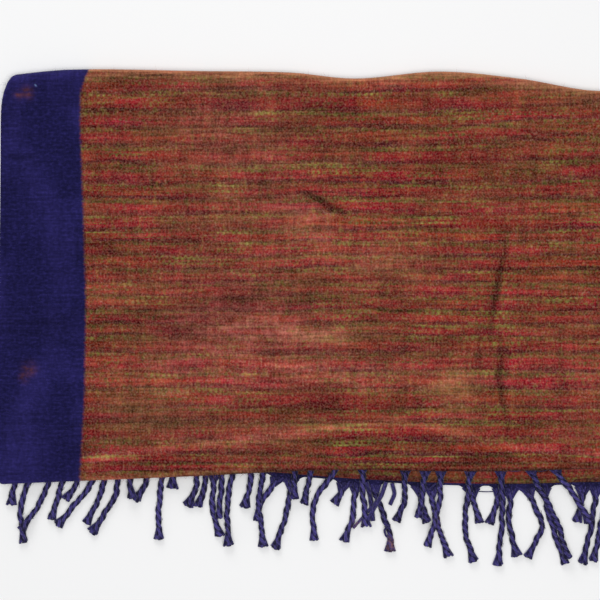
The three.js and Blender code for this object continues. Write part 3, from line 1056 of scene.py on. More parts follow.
def stripe_colours(n, at, calm):
    """Colour of the striped ground: row by row, with drift along each row."""
    shifted = at.row
    for per_u, per_v, seed, moved in ROW_SHIFTS:
        away = n.math("SUBTRACT", stretched(n, at, per_u, per_v, seed), 0.5)
        shifted = n.math("MULTIPLY_ADD", away, moved, shifted)
    index = n.math("FLOOR", shifted)
    phase = n.math("FRACT", shifted)

    def drift(name):
        speed, seed, low, high = DRIFTS[name]
        place = n.join(n.math("MULTIPLY", at.u, speed), n.math("MULTIPLY", index, NEXT_ROW), seed)
        return n.between(n.noise(place), low, high)

    def here(name):
        return n.math("MULTIPLY", n.ramp(phase, ROW_PARTS[name]), drift(name))

    red = n.blend(drift("brick to crimson"), BRICK, CRIMSON)
    red = n.blend(drift("red to pink"), red, PINK_RED)
    red = n.blend(n.math("MULTIPLY", n.ramp(phase, ROW_PARTS["plum"]), PLUM_COVER), red, PLUM)
    ground = n.blend(drift("rust to olive"), RUST, MUTED)
    ground = n.blend(n.math("MULTIPLY", here("red"), RED_COVER), ground, red)

    green = n.blend(drift("olive to green"), OLIVE, YELLOW_GREEN)
    along_row = n.math("MULTIPLY_ADD", drift("green"), 1 - GREEN_LEAST, GREEN_LEAST)
    strength = n.math("MULTIPLY", n.ramp(phase, ROW_PARTS["green"]), along_row)
    strength = n.math("MULTIPLY_ADD", here("second green"), SECOND_GREEN, strength)
    on_floats = n.math("MULTIPLY_ADD", at.floats, GREEN_ON_FLOATS, GREEN_OFF_FLOATS)
    ground = n.blend(n.math("MULTIPLY", strength, on_floats), ground, green)

    dark = n.blend(drift("brown to plum"), DARK_BROWN, PLUM)
    ground = n.blend(n.math("MULTIPLY", here("dark"), DARK_COVER), ground, dark)
    return n.blend(calm, ground, SHORN)


print("yarns of a row:", list(ROW_PARTS))

# %% [markdown]
# Flecks, brushed nap and painted rim highlights
# Over the stripes lie the ends of other yarns, as small flecks, and the nap that brushing has
# raised. It takes the colour out of the stripes in patches, and along the folds a light tan is
# painted as highlight where the nap catches the light. Each layer is blended over the last one,
# as a painter glazes.

# %% Colour over the stripes
OLIVE_FLECK = colour(150, 118, 66)
RED_FLECK = colour(166, 40, 44)
GREY_FLECK = colour(176, 138, 122)
PALE_NAP = colour(202, 116, 106)
# Painted highlight on the nap of the folds
HIGHLIGHT_TAN = colour(220, 146, 104)
FLECKS = [
    ("olive flecks", OLIVE_FLECK),
    ("red flecks", RED_FLECK),
    ("green flecks", YELLOW_GREEN),
    ("pale flecks", GREY_FLECK),
    ("olive areas", OLIVE_FLECK),
]
# name: range of a value, and the range it becomes
RANGES = {
    "to crimson": (0.0, 1.0, 0.0, 0.55),
    "to olive": (0.0, -1.0, 0.0, 0.6),
    "brushed nap": (0.34, 0.66, 0.05, 0.42),
    "outermost rim": (0.8, 1.0, 0.0, 1.0),
    "uneven rim": (0.7, 1.2, 0.6, 1.0),
    "navy brushed": (0.46, 0.72, 0.0, 0.26),
    "navy shown": (0.28, 0.5, 0.35, 1.0),
    "stain": (0.36, 0.6, 0.2, 0.85),
    "lint": (0.25, 0.6, 0.0, 0.8),
    "in stripes": (-0.0022, 0.0022, 0.0, 1.0),
    "painted crease shade": (-1.7, 0.0, 0.34, 1.0),
    "painted ridge highlight": (0.0, 1.0, 1.0, 1.16),
    "out of creases": (-0.9, -0.1, 0.0, 1.0),
}
CALM_WHERE_BRUSHED = 0.4
HIGHLIGHT_ON_RIM = 0.8
PATCHY_NOISE = (90.0, 150.0, 17.0, 3.0)


def striped_part(n, at):
    """The stripes with all that lies over them."""
    calm = n.math("MULTIPLY_ADD", at.brushed, CALM_WHERE_BRUSHED, mottle(n, at, "worn areas"))
    ground = stripe_colours(n, at, calm)
    hue = n.math("MULTIPLY", at.hue, at.uneven)
    ground = n.blend(n.between(hue, *RANGES["to crimson"]), ground, CRIMSON)
    ground = n.blend(n.between(hue, *RANGES["to olive"]), ground, OLIVE_FLECK)
    for name, fleck in FLECKS:
        ground = n.blend(mottle(n, at, name), ground, fleck)
    pale = n.math("MULTIPLY", at.brushed, n.between(at.patchy, *RANGES["brushed nap"]))
    ground = n.blend(pale, ground, PALE_NAP)
    # Painted highlight along the folds, in streaks, fullest at the outermost edge
    on_rim = n.math("MULTIPLY", at.rim, mottle(n, at, "rim streaks"))
    on_rim = n.math("MAXIMUM", on_rim, at.outermost)
    return n.blend(n.math("MULTIPLY", on_rim, HIGHLIGHT_ON_RIM), ground, HIGHLIGHT_TAN)


print(len(FLECKS), "kinds of flecks")

# %% [markdown]
# The navy border
# The border is the same weave in one dark yarn, so it shows no stripes, only a violet haze
# where it is brushed. Two rust-brown spots and a little lint keep it from looking new.

# %% Colour of the border
NAVY = colour(33, 30, 84)
NAVY_LIGHT = colour(70, 62, 148)
NAVY_DARK = colour(24, 21, 62)
RUST_STAIN = colour(118, 64, 46)
LINT = colour(140, 165, 225)
NAVY_BRUSH = (240.0, 420.0, 31.0)
NAVY_HIGHLIGHT_ON_RIM = 0.3


def navy_part(n, at):
    """The border's navy, with a violet brushed haze, faint rows, spots and lint."""
    brush = stretched(n, at, *NAVY_BRUSH)
    haze = n.math("ADD", mottle(n, at, "navy haze"), n.between(brush, *RANGES["navy brushed"]))
    navy = n.blend(n.between(brush, *RANGES["navy shown"]), NAVY_DARK, NAVY)
    # Painted highlight where the border turns over the folds
    navy = n.blend(n.math("MULTIPLY_ADD", at.rim, NAVY_HIGHLIGHT_ON_RIM, haze), navy, NAVY_LIGHT)
    stain = n.math("MULTIPLY", at.rust, n.between(at.patchy, *RANGES["stain"]))
    navy = n.blend(stain, navy, RUST_STAIN)
    return n.blend(n.between(at.lint, *RANGES["lint"]), navy, LINT)


print("navy as light:", [round(c, 3) for c in NAVY])

# %% [markdown]
# Light and shade of the nap
# Single threads and the lie of the nap only change how light the colour is, and so do the
# painted shade in the creases and on the front fold, the painted highlight on the ridges and the
# painted light and shade of the low waves, so they become one level that multiplies it. Loose
# fibres shine a little whatever their dye, so theirs is added. The bump takes its height from
# the same threads, so that light and colour agree.

# %% Material of the cloth
CLOTH_LEVEL = 0.62
FIBRE_LIGHT = (0.15, 0.078, 0.058)
NAVY_RELIEF = 0.55
SOFT_SHADING_STRENGTH = 0.5
EDGE_NOISE = (300.0, 420.0, 41.0)
EDGE_WANDER = 0.004
OUTERMOST_HIGHLIGHT = 0.45
HAIR_HIGHLIGHT_ON_RIM = 0.5
HAIR_ELSEWHERE = 0.25
FLOATS_RAISED = 0.4
WOOL_BUMP = 0.4
WOOL_DEPTH = 0.0012
WOOL_FINISH = {
    "Roughness": 0.94,
    "Specular IOR Level": 0.05,
    "Sheen Weight": 0.06,
    "Sheen Roughness": 0.55,
}


def read_cloth(n):
    """What the mesh knows about a place on the cloth, and the values used more than once."""
    at = SimpleNamespace()
    at.u, at.v, at.row = n.split(n.attribute("weave", "Vector"))
    at.edge, at.crease, at.rim = n.split(n.attribute("marks", "Vector"))
    at.brushed, at.rust, at.lint = n.split(n.attribute("patches", "Vector"))
    at.tone = n.attribute("tone")
    at.hue = n.attribute("hue")
    at.fibre = n.attribute("fibre")
    at.floats = woven_floats(n, at)
    at.uneven = mottle(n, at, "uneven")
    at.patchy = stretched(n, at, *PATCHY_NOISE)
    # The outermost edge of the folds, where the painted highlight is strongest
    outermost = n.between(at.rim, *RANGES["outermost rim"])
    uneven_rim = n.between(at.uneven, *RANGES["uneven rim"])
    at.outermost = n.math("MULTIPLY", outermost, uneven_rim)
    wander = n.math("SUBTRACT", stretched(n, at, *EDGE_NOISE), 0.5)
    edge = n.math("MULTIPLY_ADD", wander, EDGE_WANDER, at.edge)
    at.in_stripes = n.between(edge, *RANGES["in stripes"])
    return at


def thread_relief(n, at):
    """Single threads as brightness around nought: long picks, short ends and fine fibres."""
    picks, ends, broad, fine = [mottle(n, at, name) for name in THREADS]
    return n.math("ADD", n.math("ADD", picks, ends), n.math("ADD", broad, fine))


def light_level(n, at, relief):
    """How light the cloth is, from its threads and nap, with painted shade and painted highlights."""
    share = n.math("MULTIPLY_ADD", at.in_stripes, 1 - NAVY_RELIEF, NAVY_RELIEF)
    light = n.math("MULTIPLY_ADD", relief, share, 1.0)
    # Painted shade in the creases and on the front fold, and painted highlight on the ridges
    shade = n.between(at.crease, *RANGES["painted crease shade"])
    shade = n.math("MULTIPLY", shade, n.between(at.crease, *RANGES["painted ridge highlight"]))
    # Painted light and shade of the low waves, kept out of the creases
    tone = n.math("MULTIPLY", at.tone, n.between(at.crease, *RANGES["out of creases"]))
    clouds = n.math("MULTIPLY_ADD", n.math("MULTIPLY", tone, at.uneven), SOFT_SHADING_STRENGTH, 1.0)
    lie = n.math("ADD", mottle(n, at, "wide clouds"), mottle(n, at, "small clouds"))
    clouds = n.math("ADD", clouds, n.math("MULTIPLY", lie, at.in_stripes))
    shade = n.math("MULTIPLY", shade, clouds)
    return n.math("MULTIPLY", n.math("MULTIPLY", light, shade), CLOTH_LEVEL)


def fibre_light(n, at):
    """Single fibres that shine a little whatever their dye, and the gaps between them."""
    level = n.math("MULTIPLY", mottle(n, at, "loose fibres"), at.in_stripes)
    return n.join(*[n.math("MULTIPLY", level, share) for share in FIBRE_LIGHT])


def wool_material():
    material, n, shader = new_material("wool_cloth")
    at = read_cloth(n)
    relief = thread_relief(n, at)
    level = light_level(n, at, relief)
    woven = n.blend(at.in_stripes, navy_part(n, at), striped_part(n, at))
    woven = n.blend(1.0, woven, n.join(level, level, level), "MULTIPLY")
    woven = n.blend(1.0, woven, fibre_light(n, at), "ADD")
    # Painted highlight at the outermost edge of the folds
    outer_highlight = n.math("MULTIPLY", n.math("MULTIPLY", at.outermost, at.in_stripes), OUTERMOST_HIGHLIGHT)
    woven = n.blend(outer_highlight, woven, HIGHLIGHT_TAN)
    hair = n.blend(at.in_stripes, NAVY_LIGHT, PALE_NAP)
    # Nap fibres on the rims get more of the pale colour, as painted highlight
    hairy = n.math("MULTIPLY_ADD", at.rim, HAIR_HIGHLIGHT_ON_RIM, HAIR_ELSEWHERE)
    woven = n.blend(n.math("MULTIPLY", at.fibre, hairy), woven, hair)
    n.put(shader.inputs["Base Color"], woven)
    height = n.math("MULTIPLY_ADD", at.floats, FLOATS_RAISED, relief)
    n.put(shader.inputs["Normal"], n.bump(height, WOOL_BUMP, WOOL_DEPTH))
    set_sockets(shader, WOOL_FINISH)
    return material


wool = wool_material()
cloth.data.materials.append(wool)
print("wool:", len(wool.node_tree.nodes), "nodes")

# %% [markdown]
# Strands of the fringe
# At either end the warp ends are gathered in small bunches, twisted into cords and cut. Their
# middle lines come from two tables: where a strand starts, how it leans at the root and at
# the tip, and its length. The rows repeat along the width.

# %% Tables of the strands
REPEAT = 615.0
SIDE_MARGIN = 30.0
TURN_SHARE = 0.35
# root, out, end, turn, long
LOWER_STRANDS = [
    (37, -22, 6, 0.55, 84), (69, -19, -16, 0.5, 59), (106, -8, -26, 0.4, 62),
    (120, -8, -33, 0.4, 74), (151, -20, -34, 0.5, 36), (163, -7, 0, 0.5, 70),
    (214, -3, 20, 0.6, 64), (279, -40, 7, 0.42, 74), (291, -6, -18, 0.4, 71),
    (345, -26, -30, 0.5, 22), (356, -6, -22, 0.6, 58), (373, 20, 0, 0.75, 68),
    (419, 12, 14, 0.5, 35), (431, 9, 18, 0.4, 70), (471, 14, 16, 0.5, 34),
    (501, -18, -18, 0.5, 35), (511, -4, 15, 0.5, 67), (527, 26, -28, 0.52, 74),
    (543, 14, 20, 0.5, 77), (584, -10, -14, 0.5, 34), (597, -8, -14, 0.5, 77),
    (609, -12, -12, 0.5, 75),
]
UPPER_STRANDS = [
    (22, -8, -10, 0.5, 74), (59, -13, -34, 0.6, 104), (86, -10, -38, 0.7, 68),
    (106, -16, -40, 0.45, 102), (131, -2, 14, 0.8, 58), (174, -4, 0, 0.5, 45),
    (198, -2, -24, 0.65, 62), (208, -4, -22, 0.65, 61), (225, -6, -4, 0.5, 70),
    (237, -11, 2, 0.55, 96), (252, -2, -14, 0.5, 57), (268, -14, -6, 0.4, 68),
    (296, -4, -2, 0.5, 42), (312, -8, -12, 0.5, 46), (341, -36, 3, 0.56, 86),
    (362, 2, 6, 0.5, 62), (405, 0, -22, 0.6, 55), (426, -8, -10, 0.5, 50),
    (441, -2, -15, 0.4, 79), (471, -7, 16, 0.62, 94), (501, 2, -6, 0.5, 97),
    (529, 28, 16, 0.6, 98), (553, 38, 30, 0.5, 66),
]
STRAND_WIDTH = 6.0
STRAND_HEIGHT = 4.6
ROOT_WIDTH = 9.0
ROOT_LENGTH = 9.0
TIP_WIDTH = 7.5
TIP_FLARE = 8.0
OVER_CLOTH = SHEET + CLEAR
# How high each end lies, and the layer that it ends
END_HEIGHT = {"lower": 0.0, "upper": OVER_CLOTH}
END_LAYER = {"lower": "first", "upper": "second"}
Strand = namedtuple("Strand", "root out end turn long")


def strands_of(table):
    """The table's strands, repeated along the whole width."""
    copies = math.ceil(WIDTH / REPEAT)
    strands = [
        Strand(root + copy * REPEAT, *rest) for copy in range(copies) for root, *rest in table
    ]
    return [strand for strand in strands if strand.root < WIDTH - SIDE_MARGIN]


def strand_line(row, strand):
    """Places each millimetre along a strand: along, y and the distance from its root."""
    s = np.arange(int(strand.long) + 1, dtype=float)
    bent = ease((s / strand.long - strand.turn) / TURN_SHARE + 0.5)
    lean = np.radians(mix(strand.out, strand.end, bent))
    start_y = float(edge_at(row, strand.root))
    x = strand.root + np.concatenate([[0], np.cumsum(np.sin(lean))[:-1]])
    y = start_y - np.concatenate([[0], np.cumsum(np.cos(lean))[:-1]])
    return x, y, s


def strand_width(s, long):
    at_root = mix(ROOT_WIDTH, STRAND_WIDTH, ease(s / ROOT_LENGTH))
    at_tip = mix(STRAND_WIDTH, TIP_WIDTH, ease((s - long + TIP_FLARE) / TIP_FLARE))
    return np.where(s < ROOT_LENGTH, at_root, at_tip)


def strand_height(s):
    return mix(SHEET, STRAND_HEIGHT, ease(s / ROOT_LENGTH))


strands = {"lower": strands_of(LOWER_STRANDS), "upper": strands_of(UPPER_STRANDS)}
lines_of = {row: [strand_line(row, strand) for strand in strands[row]] for row in strands}
print(len(strands["lower"]), "lower strands and", len(strands["upper"]), "upper strands")

# %% [markdown]
# Strands that cross
# Where an upper strand crosses a lower one, or the end of the lower layer, it must lie on top
# of it. The height that it needs is known at every millimetre of its line, and a slope that
# limits how fast it may rise or fall turns those heights into a natural arch.

# %% Lift each upper strand over what it crosses
SLOPE = 0.45
BESIDE = 0.8
# Every place on a lower strand: along, y, width and height
LOWER_CLOUD = np.concatenate(
    [
        np.stack([x, y, strand_width(s, strand.long), strand_height(s)], axis=1)
        for (x, y, s), strand in zip(lines_of["lower"], strands["lower"])
    ]
)


def from_lower_strands(x, y):
    """Distance of each of some places to each place on the lower strands."""
    return np.hypot(x[:, None] - LOWER_CLOUD[:, 0], y[:, None] - LOWER_CLOUD[:, 1])


def underside(line, strand):
    x, y, s = line
    half = strand_width(s, strand.long) / 2
    needed = np.where(y > edge_at("lower", x) - half, OVER_CLOTH, 0.0)
    reach = half[:, None] + LOWER_CLOUD[:, 2] / 2 + BESIDE
    over = np.where(from_lower_strands(x, y) <= reach, LOWER_CLOUD[:, 3] + CLEAR, 0.0)
    needed = np.maximum(needed, over.max(axis=1))
    apart = np.abs(np.arange(len(x))[:, None] - np.arange(len(x))[None, :])
    return np.maximum((needed[None, :] - SLOPE * apart).max(axis=1), 0)


undersides = {
    "lower": [np.zeros(len(x)) for x, _, _ in lines_of["lower"]],
    "upper": [underside(*pair) for pair in zip(lines_of["upper"], strands["upper"])],
}
highest = max(float(under.max()) for under in undersides["upper"])
print("highest underside of a strand:", round(highest, 2), "mm")

# %% [markdown]
# Lines for the yarns
# A mesh of bare edges carries the middle lines into Geometry Nodes. A curve object would do
# too, but a mesh takes named numbers on its points: the distance along the strand, how thick
# the yarn is there, how far its plies stand apart, whether it is twisted, and the line's own
# number. This helper collects them.

# %% Collect lines
LINE_NUMBERS = ("travel", "thick", "spread", "twisted", "number")


class Lines:
    """Collects open lines, in millimetres, with five numbers on every point."""

    def __init__(self):
        self.points = []
        self.numbers = []
        self.edges = []
        self.size = 0

    def add(self, x, y, z, travel, thick, spread=0.0, twisted=0.0):
        count = len(x)
        given = (travel, thick, spread, twisted, len(self.numbers))
        self.numbers.append(np.stack([np.broadcast_to(g, count) for g in given], axis=1))
        self.points.append(np.stack([x, y, z], axis=1))
        self.edges.extend((self.size + i, self.size + i + 1) for i in range(count - 1))
        self.size += count

    def mesh(self, name):
        mesh = bpy.data.meshes.new(name)
        mesh.from_pydata((np.concatenate(self.points) * MM).tolist(), self.edges, [])
        for label, values in zip(LINE_NUMBERS, np.concatenate(self.numbers).T):
            add_numbers(mesh, label, values)
        return mesh


print("numbers on every point:", LINE_NUMBERS)

# %% [markdown]
# Cords with open ends
# Each strand is one twisted line that sways a little. A few single yarns fan out from the end
# strip into its root, and a few more splay at its cut tip, because that is where the twist
# opens on the real fringe.

# %% Draw the cords, their roots and their tips
STRAND_START = 3
STRAND_STEP = 2
STRAND_RAISE = 0.5
# height and length of the ripples in a cord's middle line and in its thickness
SWAYS = [(0.45, 4.7), (0.3, 2.3)]
SWELLINGS = [(0.1, 4.1), (0.05, 1.7)]
ENDS_FROM = 2.0
ENDS_LENGTH = 9.0
THIN_ROOT = 0.66
THICK_TIP = 1.12
CLOSE_ROOT = 0.8
OPEN_TIP = 1.7
TWIST_RATES = (0.75, 1.2)
ROOT_YARNS = 6
ROOT_SPREAD = 8.0
ROOT_UNEVEN = 0.8
ROOT_JOIN = 9
ROOT_INSIDE = 1.6
ROOT_SIDE = 1.5
ROOT_PULL_POWER = 0.75
ROOT_THICK = (0.85, 0.9)
ROOT_POINTS = 6
YARN_LIFT = 1.4
TIP_YARNS = 8
TIP_SPREAD = (3.4, 5.2)
TIP_UNEVEN = (0.75, 1.1)
TIP_BACK = 14.0
TIP_RAGGED = (-1.6, 1.2)
TIP_LIFT = 1.0
TIP_START = 1.2
TIP_SPLAY_POWER = 1.3
TIP_LOWEST = 1.4
TIP_THICK = (0.7, 0.78)
TIP_POINTS = 5
TIP_HEADING = 3


def ripple(at, table, phases):
    return sum(height * np.sin(at / length + p) for (height, length), p in zip(table, phases))


def add_strand(lines, line, under, strand, draw):
    x, y, s = line
    last = len(s) - 1
    keep = np.unique(np.append(np.arange(STRAND_START, last, STRAND_STEP), last))
    at = s[keep]
    phases = draw.uniform(0, 2 * math.pi, 4)
    middle = under + strand_height(s) / 2 + STRAND_RAISE
    near_root = ease((at - ENDS_FROM) / ENDS_LENGTH)
    near_tip = ease((at - strand.long + ENDS_LENGTH) / ENDS_LENGTH)
    thick = mix(THIN_ROOT, 1.0, near_root) * mix(1.0, THICK_TIP, near_tip)
    thick = thick * (1 + ripple(at, SWELLINGS, phases[2:]))
    spread = mix(CLOSE_ROOT, 1.0, near_root) * mix(1.0, OPEN_TIP, near_tip)
    px = x[keep] - WIDTH / 2 + ripple(at, SWAYS, phases[:2])
    lines.add(px, y[keep], middle[keep], at * draw.uniform(*TWIST_RATES), thick, spread, 1.0)


def add_root(lines, line, under, row, draw):
    """Single yarns that fan out from the end strip into a cord."""
    x, y, s = line
    bx = x[ROOT_JOIN] - WIDTH / 2
    by = y[ROOT_JOIN]
    bz = under[ROOT_JOIN] + strand_height(s[ROOT_JOIN]) / 2
    t = np.linspace(0, 1, ROOT_POINTS)
    for share in np.linspace(-1, 1, ROOT_YARNS):
        start = x[0] + share * ROOT_SPREAD + draw.uniform(-ROOT_UNEVEN, ROOT_UNEVEN)
        start_y = float(edge_at(row, np.clip(start, 0, WIDTH))) + ROOT_INSIDE
        px = mix(start - WIDTH / 2, bx + share * ROOT_SIDE, t**ROOT_PULL_POWER)
        pz = mix(END_HEIGHT[row] + YARN_LIFT, bz, ease(t))
        lines.add(px, mix(start_y, by, t), pz, t * ROOT_JOIN, mix(*ROOT_THICK, t))


def add_tip(lines, line, under, draw):
    """Single yarns that splay at a cord's cut end."""
    x, y, s = line
    last = len(s) - 1
    start = max(last - int(TIP_BACK), 1)
    dx, dy = x[last] - x[last - TIP_HEADING], y[last] - y[last - TIP_HEADING]
    size = math.hypot(dx, dy)
    dx, dy = dx / size, dy / size
    widest = draw.uniform(*TIP_SPREAD)
    t = np.linspace(0, 1, TIP_POINTS)
    for share in np.linspace(-1, 1, TIP_YARNS):
        out = share * widest * draw.uniform(*TIP_UNEVEN)
        reach = TIP_BACK + draw.uniform(*TIP_RAGGED)
        lift = draw.uniform(-TIP_LIFT, TIP_LIFT)
        splay = mix(share * TIP_START, out, t**TIP_SPLAY_POWER)
        px = x[start] - WIDTH / 2 + dx * reach * t - dy * splay
        py = y[start] + dy * reach * t + dx * splay
        height = np.interp(start + reach * t, s, under + strand_height(s) / 2)
        pz = np.maximum(height + lift * t, TIP_LOWEST)
        lines.add(px, py, pz, s[start] + reach * t, mix(*TIP_THICK, t))


print(ROOT_YARNS, "yarns at each root and", TIP_YARNS, "at each tip")

# %% [markdown]
# Loose yarns and fuzz
# Handling pulls single yarns out of an old fringe: short fibres stand off each cord, fine
# wefts hang between the roots, and a few yarns lie loose. These need no twist, so they are
# plain thin lines in the same mesh.

# %% Draw the loose yarns and the fuzz
YARN_RADIUS = 1.62
FUZZ_EVERY = 10.0
FUZZ_ENDS = (8, 4)
FUZZ_SHIFT = 2
FUZZ_FROM = 2.2
FUZZ_REACH = (0.5, 1.6)
FUZZ_ARCH = 0.6
FUZZ_RUN = (2.0, 5.0)
FUZZ_RISE = 0.8
FUZZ_THICK = 0.1
FUZZ_POINTS = 4
# Each loose yarn is a thickness and the points that it passes, along and y
LOOSE_YARNS = [
    (0.9, [(380, -222), (374, -230), (366, -240), (353, -254)]),
    (1.5, [(366, -208), (370, -220), (372, -236), (373, -247)]),
    (1.4, [(386, -208), (382, -220), (374, -234), (368, -246)]),
    (1.3, [(392, -209), (395, -220), (390, -231)]),
    (0.5, [(420, -209), (428, -216), (436, -209)]),
    (0.7, [(390, -250), (384, -256), (386, -262), (391, -264)]),
]
LOOSE_STEPS = 5
LOOSE_ROUNDS = 2
LOOSE_NEAR = 5
LOOSE_CLEAR = 0.1
LOOSE_SLOPES = 4
LOOSE_TRAVEL = 7
LOOSE_START = 9
WEFT_GAP = (9, 34)
WEFT_MISSING = 0.35
WEFT_INSET = 3
WEFT_DROP = 1.2
WEFT_SAG = (0.5, 2.2)
WEFT_HEIGHT = 1.0
WEFT_THICK = 0.3
WEFT_POINTS = 9


def add_fuzz(lines, line, under, strand, draw):
    """Short fibres that stand off a cord's sides."""
    x, y, s = line
    t = np.linspace(0, 1, FUZZ_POINTS)
    for at in np.arange(FUZZ_ENDS[0], strand.long - FUZZ_ENDS[1], FUZZ_EVERY):
        i = int(np.clip(at + draw.uniform(-FUZZ_SHIFT, FUZZ_SHIFT), 1, len(s) - 2))
        dx, dy = x[i + 1] - x[i - 1], y[i + 1] - y[i - 1]
        size = math.hypot(dx, dy)
        side = draw.choice([-1.0, 1.0])
        arch = draw.uniform(*FUZZ_REACH) * np.sin(math.pi * FUZZ_ARCH * t)
        out = side * (FUZZ_FROM + arch)
        run = draw.uniform(*FUZZ_RUN) * draw.choice([-1.0, 1.0]) * t
        px = x[i] - WIDTH / 2 + dx / size * run - dy / size * out
        py = y[i] + dy / size * run + dx / size * out
        height = under[i] + STRAND_HEIGHT / 2 + draw.uniform(-FUZZ_RISE, FUZZ_RISE)
        lines.add(px, py, np.full(FUZZ_POINTS, height), s[i] + t, FUZZ_THICK)


def add_loose_yarns(lines, draw):
    """A few yarns that have come out of their cords, lying over what they cross."""
    for thick, points in LOOSE_YARNS:
        given = np.array(points, float)
        t = np.linspace(0, len(given) - 1, LOOSE_STEPS * len(given))
        px = np.interp(t, np.arange(len(given)), given[:, 0])
        py = np.interp(t, np.arange(len(given)), given[:, 1])
        for _ in range(LOOSE_ROUNDS):
            px[1:-1] = (px[:-2] + 2 * px[1:-1] + px[2:]) / 4
            py[1:-1] = (py[:-2] + 2 * py[1:-1] + py[2:]) / 4
        on_strand = from_lower_strands(px, py).min(axis=1) < LOOSE_NEAR
        lifted = on_strand | (py > edge_at("lower", px))
        half = thick * YARN_RADIUS
        pz = np.where(lifted, STRAND_HEIGHT + half, half + LOOSE_CLEAR)
        for _ in range(LOOSE_SLOPES):
            pz[1:-1] = np.maximum(pz[1:-1], (pz[:-2] + pz[2:]) / 2)
        travel = t * LOOSE_TRAVEL + draw.uniform(0, LOOSE_START)
        lines.add(px - WIDTH / 2, py, pz, travel, thick)


def add_loose_wefts(lines, row, roots, draw):
    """Fine threads that hang between two roots."""
    t = np.linspace(0, 1, WEFT_POINTS)
    nearest, farthest = WEFT_GAP
    for left, right in zip(roots[:-1], roots[1:]):
        if not nearest < right - left < farthest or draw.uniform() < WEFT_MISSING:
            continue
        along_here = mix(left + WEFT_INSET, right - WEFT_INSET, t)
        sag = draw.uniform(*WEFT_SAG) * np.sin(math.pi * t)
        py = edge_at(row, along_here) - WEFT_DROP - sag
        pz = np.full(WEFT_POINTS, END_HEIGHT[row] / 2 + WEFT_HEIGHT)
        lines.add(along_here - WIDTH / 2, py, pz, along_here - left, WEFT_THICK)


def draw_row(row, seed):
    draw = np.random.default_rng(seed)
    lines = Lines()
    for strand, line, under in zip(strands[row], lines_of[row], undersides[row]):
        add_strand(lines, line, under, strand, draw)
        add_root(lines, line, under, row, draw)
        add_tip(lines, line, under, draw)
        add_fuzz(lines, line, under, strand, draw)
    if row == "upper":
        add_loose_yarns(lines, draw)
    add_loose_wefts(lines, row, sorted(strand.root for strand in strands[row]), draw)
    return add_object(row + "_lines", lines.mesh(row + "_lines"))


ROW_SEEDS = {"lower": 5, "upper": 6}
sources = {row: draw_row(row, seed) for row, seed in ROW_SEEDS.items()}
print("edges:", {row: len(source.data.edges) for row, source in sources.items()})

# %% [markdown]
# Twisting the plies
# A twisted cord repeats one simple rule: each ply circles the middle line as it travels. That
# is a task for Geometry Nodes. The tree moves three copies of every line sideways by a turning
# angle, gives them a round profile and realizes them. The cord lies a little flattened, so its
# upright offset is smaller than its sideways one. Single yarns pass through without a twist.

# %% Geometry Nodes tree for twisted yarn
YARN_INPUTS = [
    ("Ply radius", "NodeSocketFloat", YARN_RADIUS * MM),
    ("Ply offset", "NodeSocketFloat", 1.6 * MM),
    ("Flattening", "NodeSocketFloat", 0.53),
    ("Twist length", "NodeSocketFloat", 25.0),
    ("Profile sides", "NodeSocketInt", 6),
    ("Seed", "NodeSocketInt", 3),
    ("Yarn", "NodeSocketMaterial", None),
]
PLIES = 3
# Single yarns get a middle share of the plies' painted highlight and groove shade
SINGLE_FACING = 0.55


def new_geometry_tree(name, inputs):
    tree = bpy.data.node_groups.new(name, "GeometryNodeTree")
    tree.interface.new_socket("Geometry", in_out="INPUT", socket_type="NodeSocketGeometry")
    for label, kind, value in inputs:
        socket = tree.interface.new_socket(label, in_out="INPUT", socket_type=kind)
        if value is not None:
            socket.default_value = value
    tree.interface.new_socket("Geometry", in_out="OUTPUT", socket_type="NodeSocketGeometry")
    n = Nodes(tree)
    return tree, n, n.add("NodeGroupInput").outputs


def named(n, name):
    return n.add("GeometryNodeInputNamedAttribute", {"Name": name}, data_type="FLOAT").outputs[0]


def ply_offset(n, given, turn):
    """Offset of one ply from the middle line, and how far up the cord it is, from -1 to 1."""
    tangent = n.add("GeometryNodeInputTangent").outputs[0]
    side = n.vector("NORMALIZE", n.vector("CROSS_PRODUCT", tangent, (0.0, 0.0, 1.0)))
    up = n.vector("CROSS_PRODUCT", side, tangent)
    number = named(n, "number")
    start = n.random(Min=0.0, Max=2 * math.pi, ID=number, Seed=given["Seed"])
    turns = n.math("DIVIDE", named(n, "travel"), given["Twist length"])
    angle = n.math("MULTIPLY_ADD", turns, 2 * math.pi, n.math("ADD", start, turn))
    reach = n.math("MULTIPLY", given["Ply offset"], named(n, "spread"))
    across = n.scaled(side, n.math("MULTIPLY", n.math("COSINE", angle), reach))
    facing = n.math("SINE", angle)
    rise = n.math("MULTIPLY", given["Ply offset"], given["Flattening"])
    upright = n.math("MULTIPLY", facing, rise)
    return n.vector("ADD", across, n.scaled(up, upright)), facing


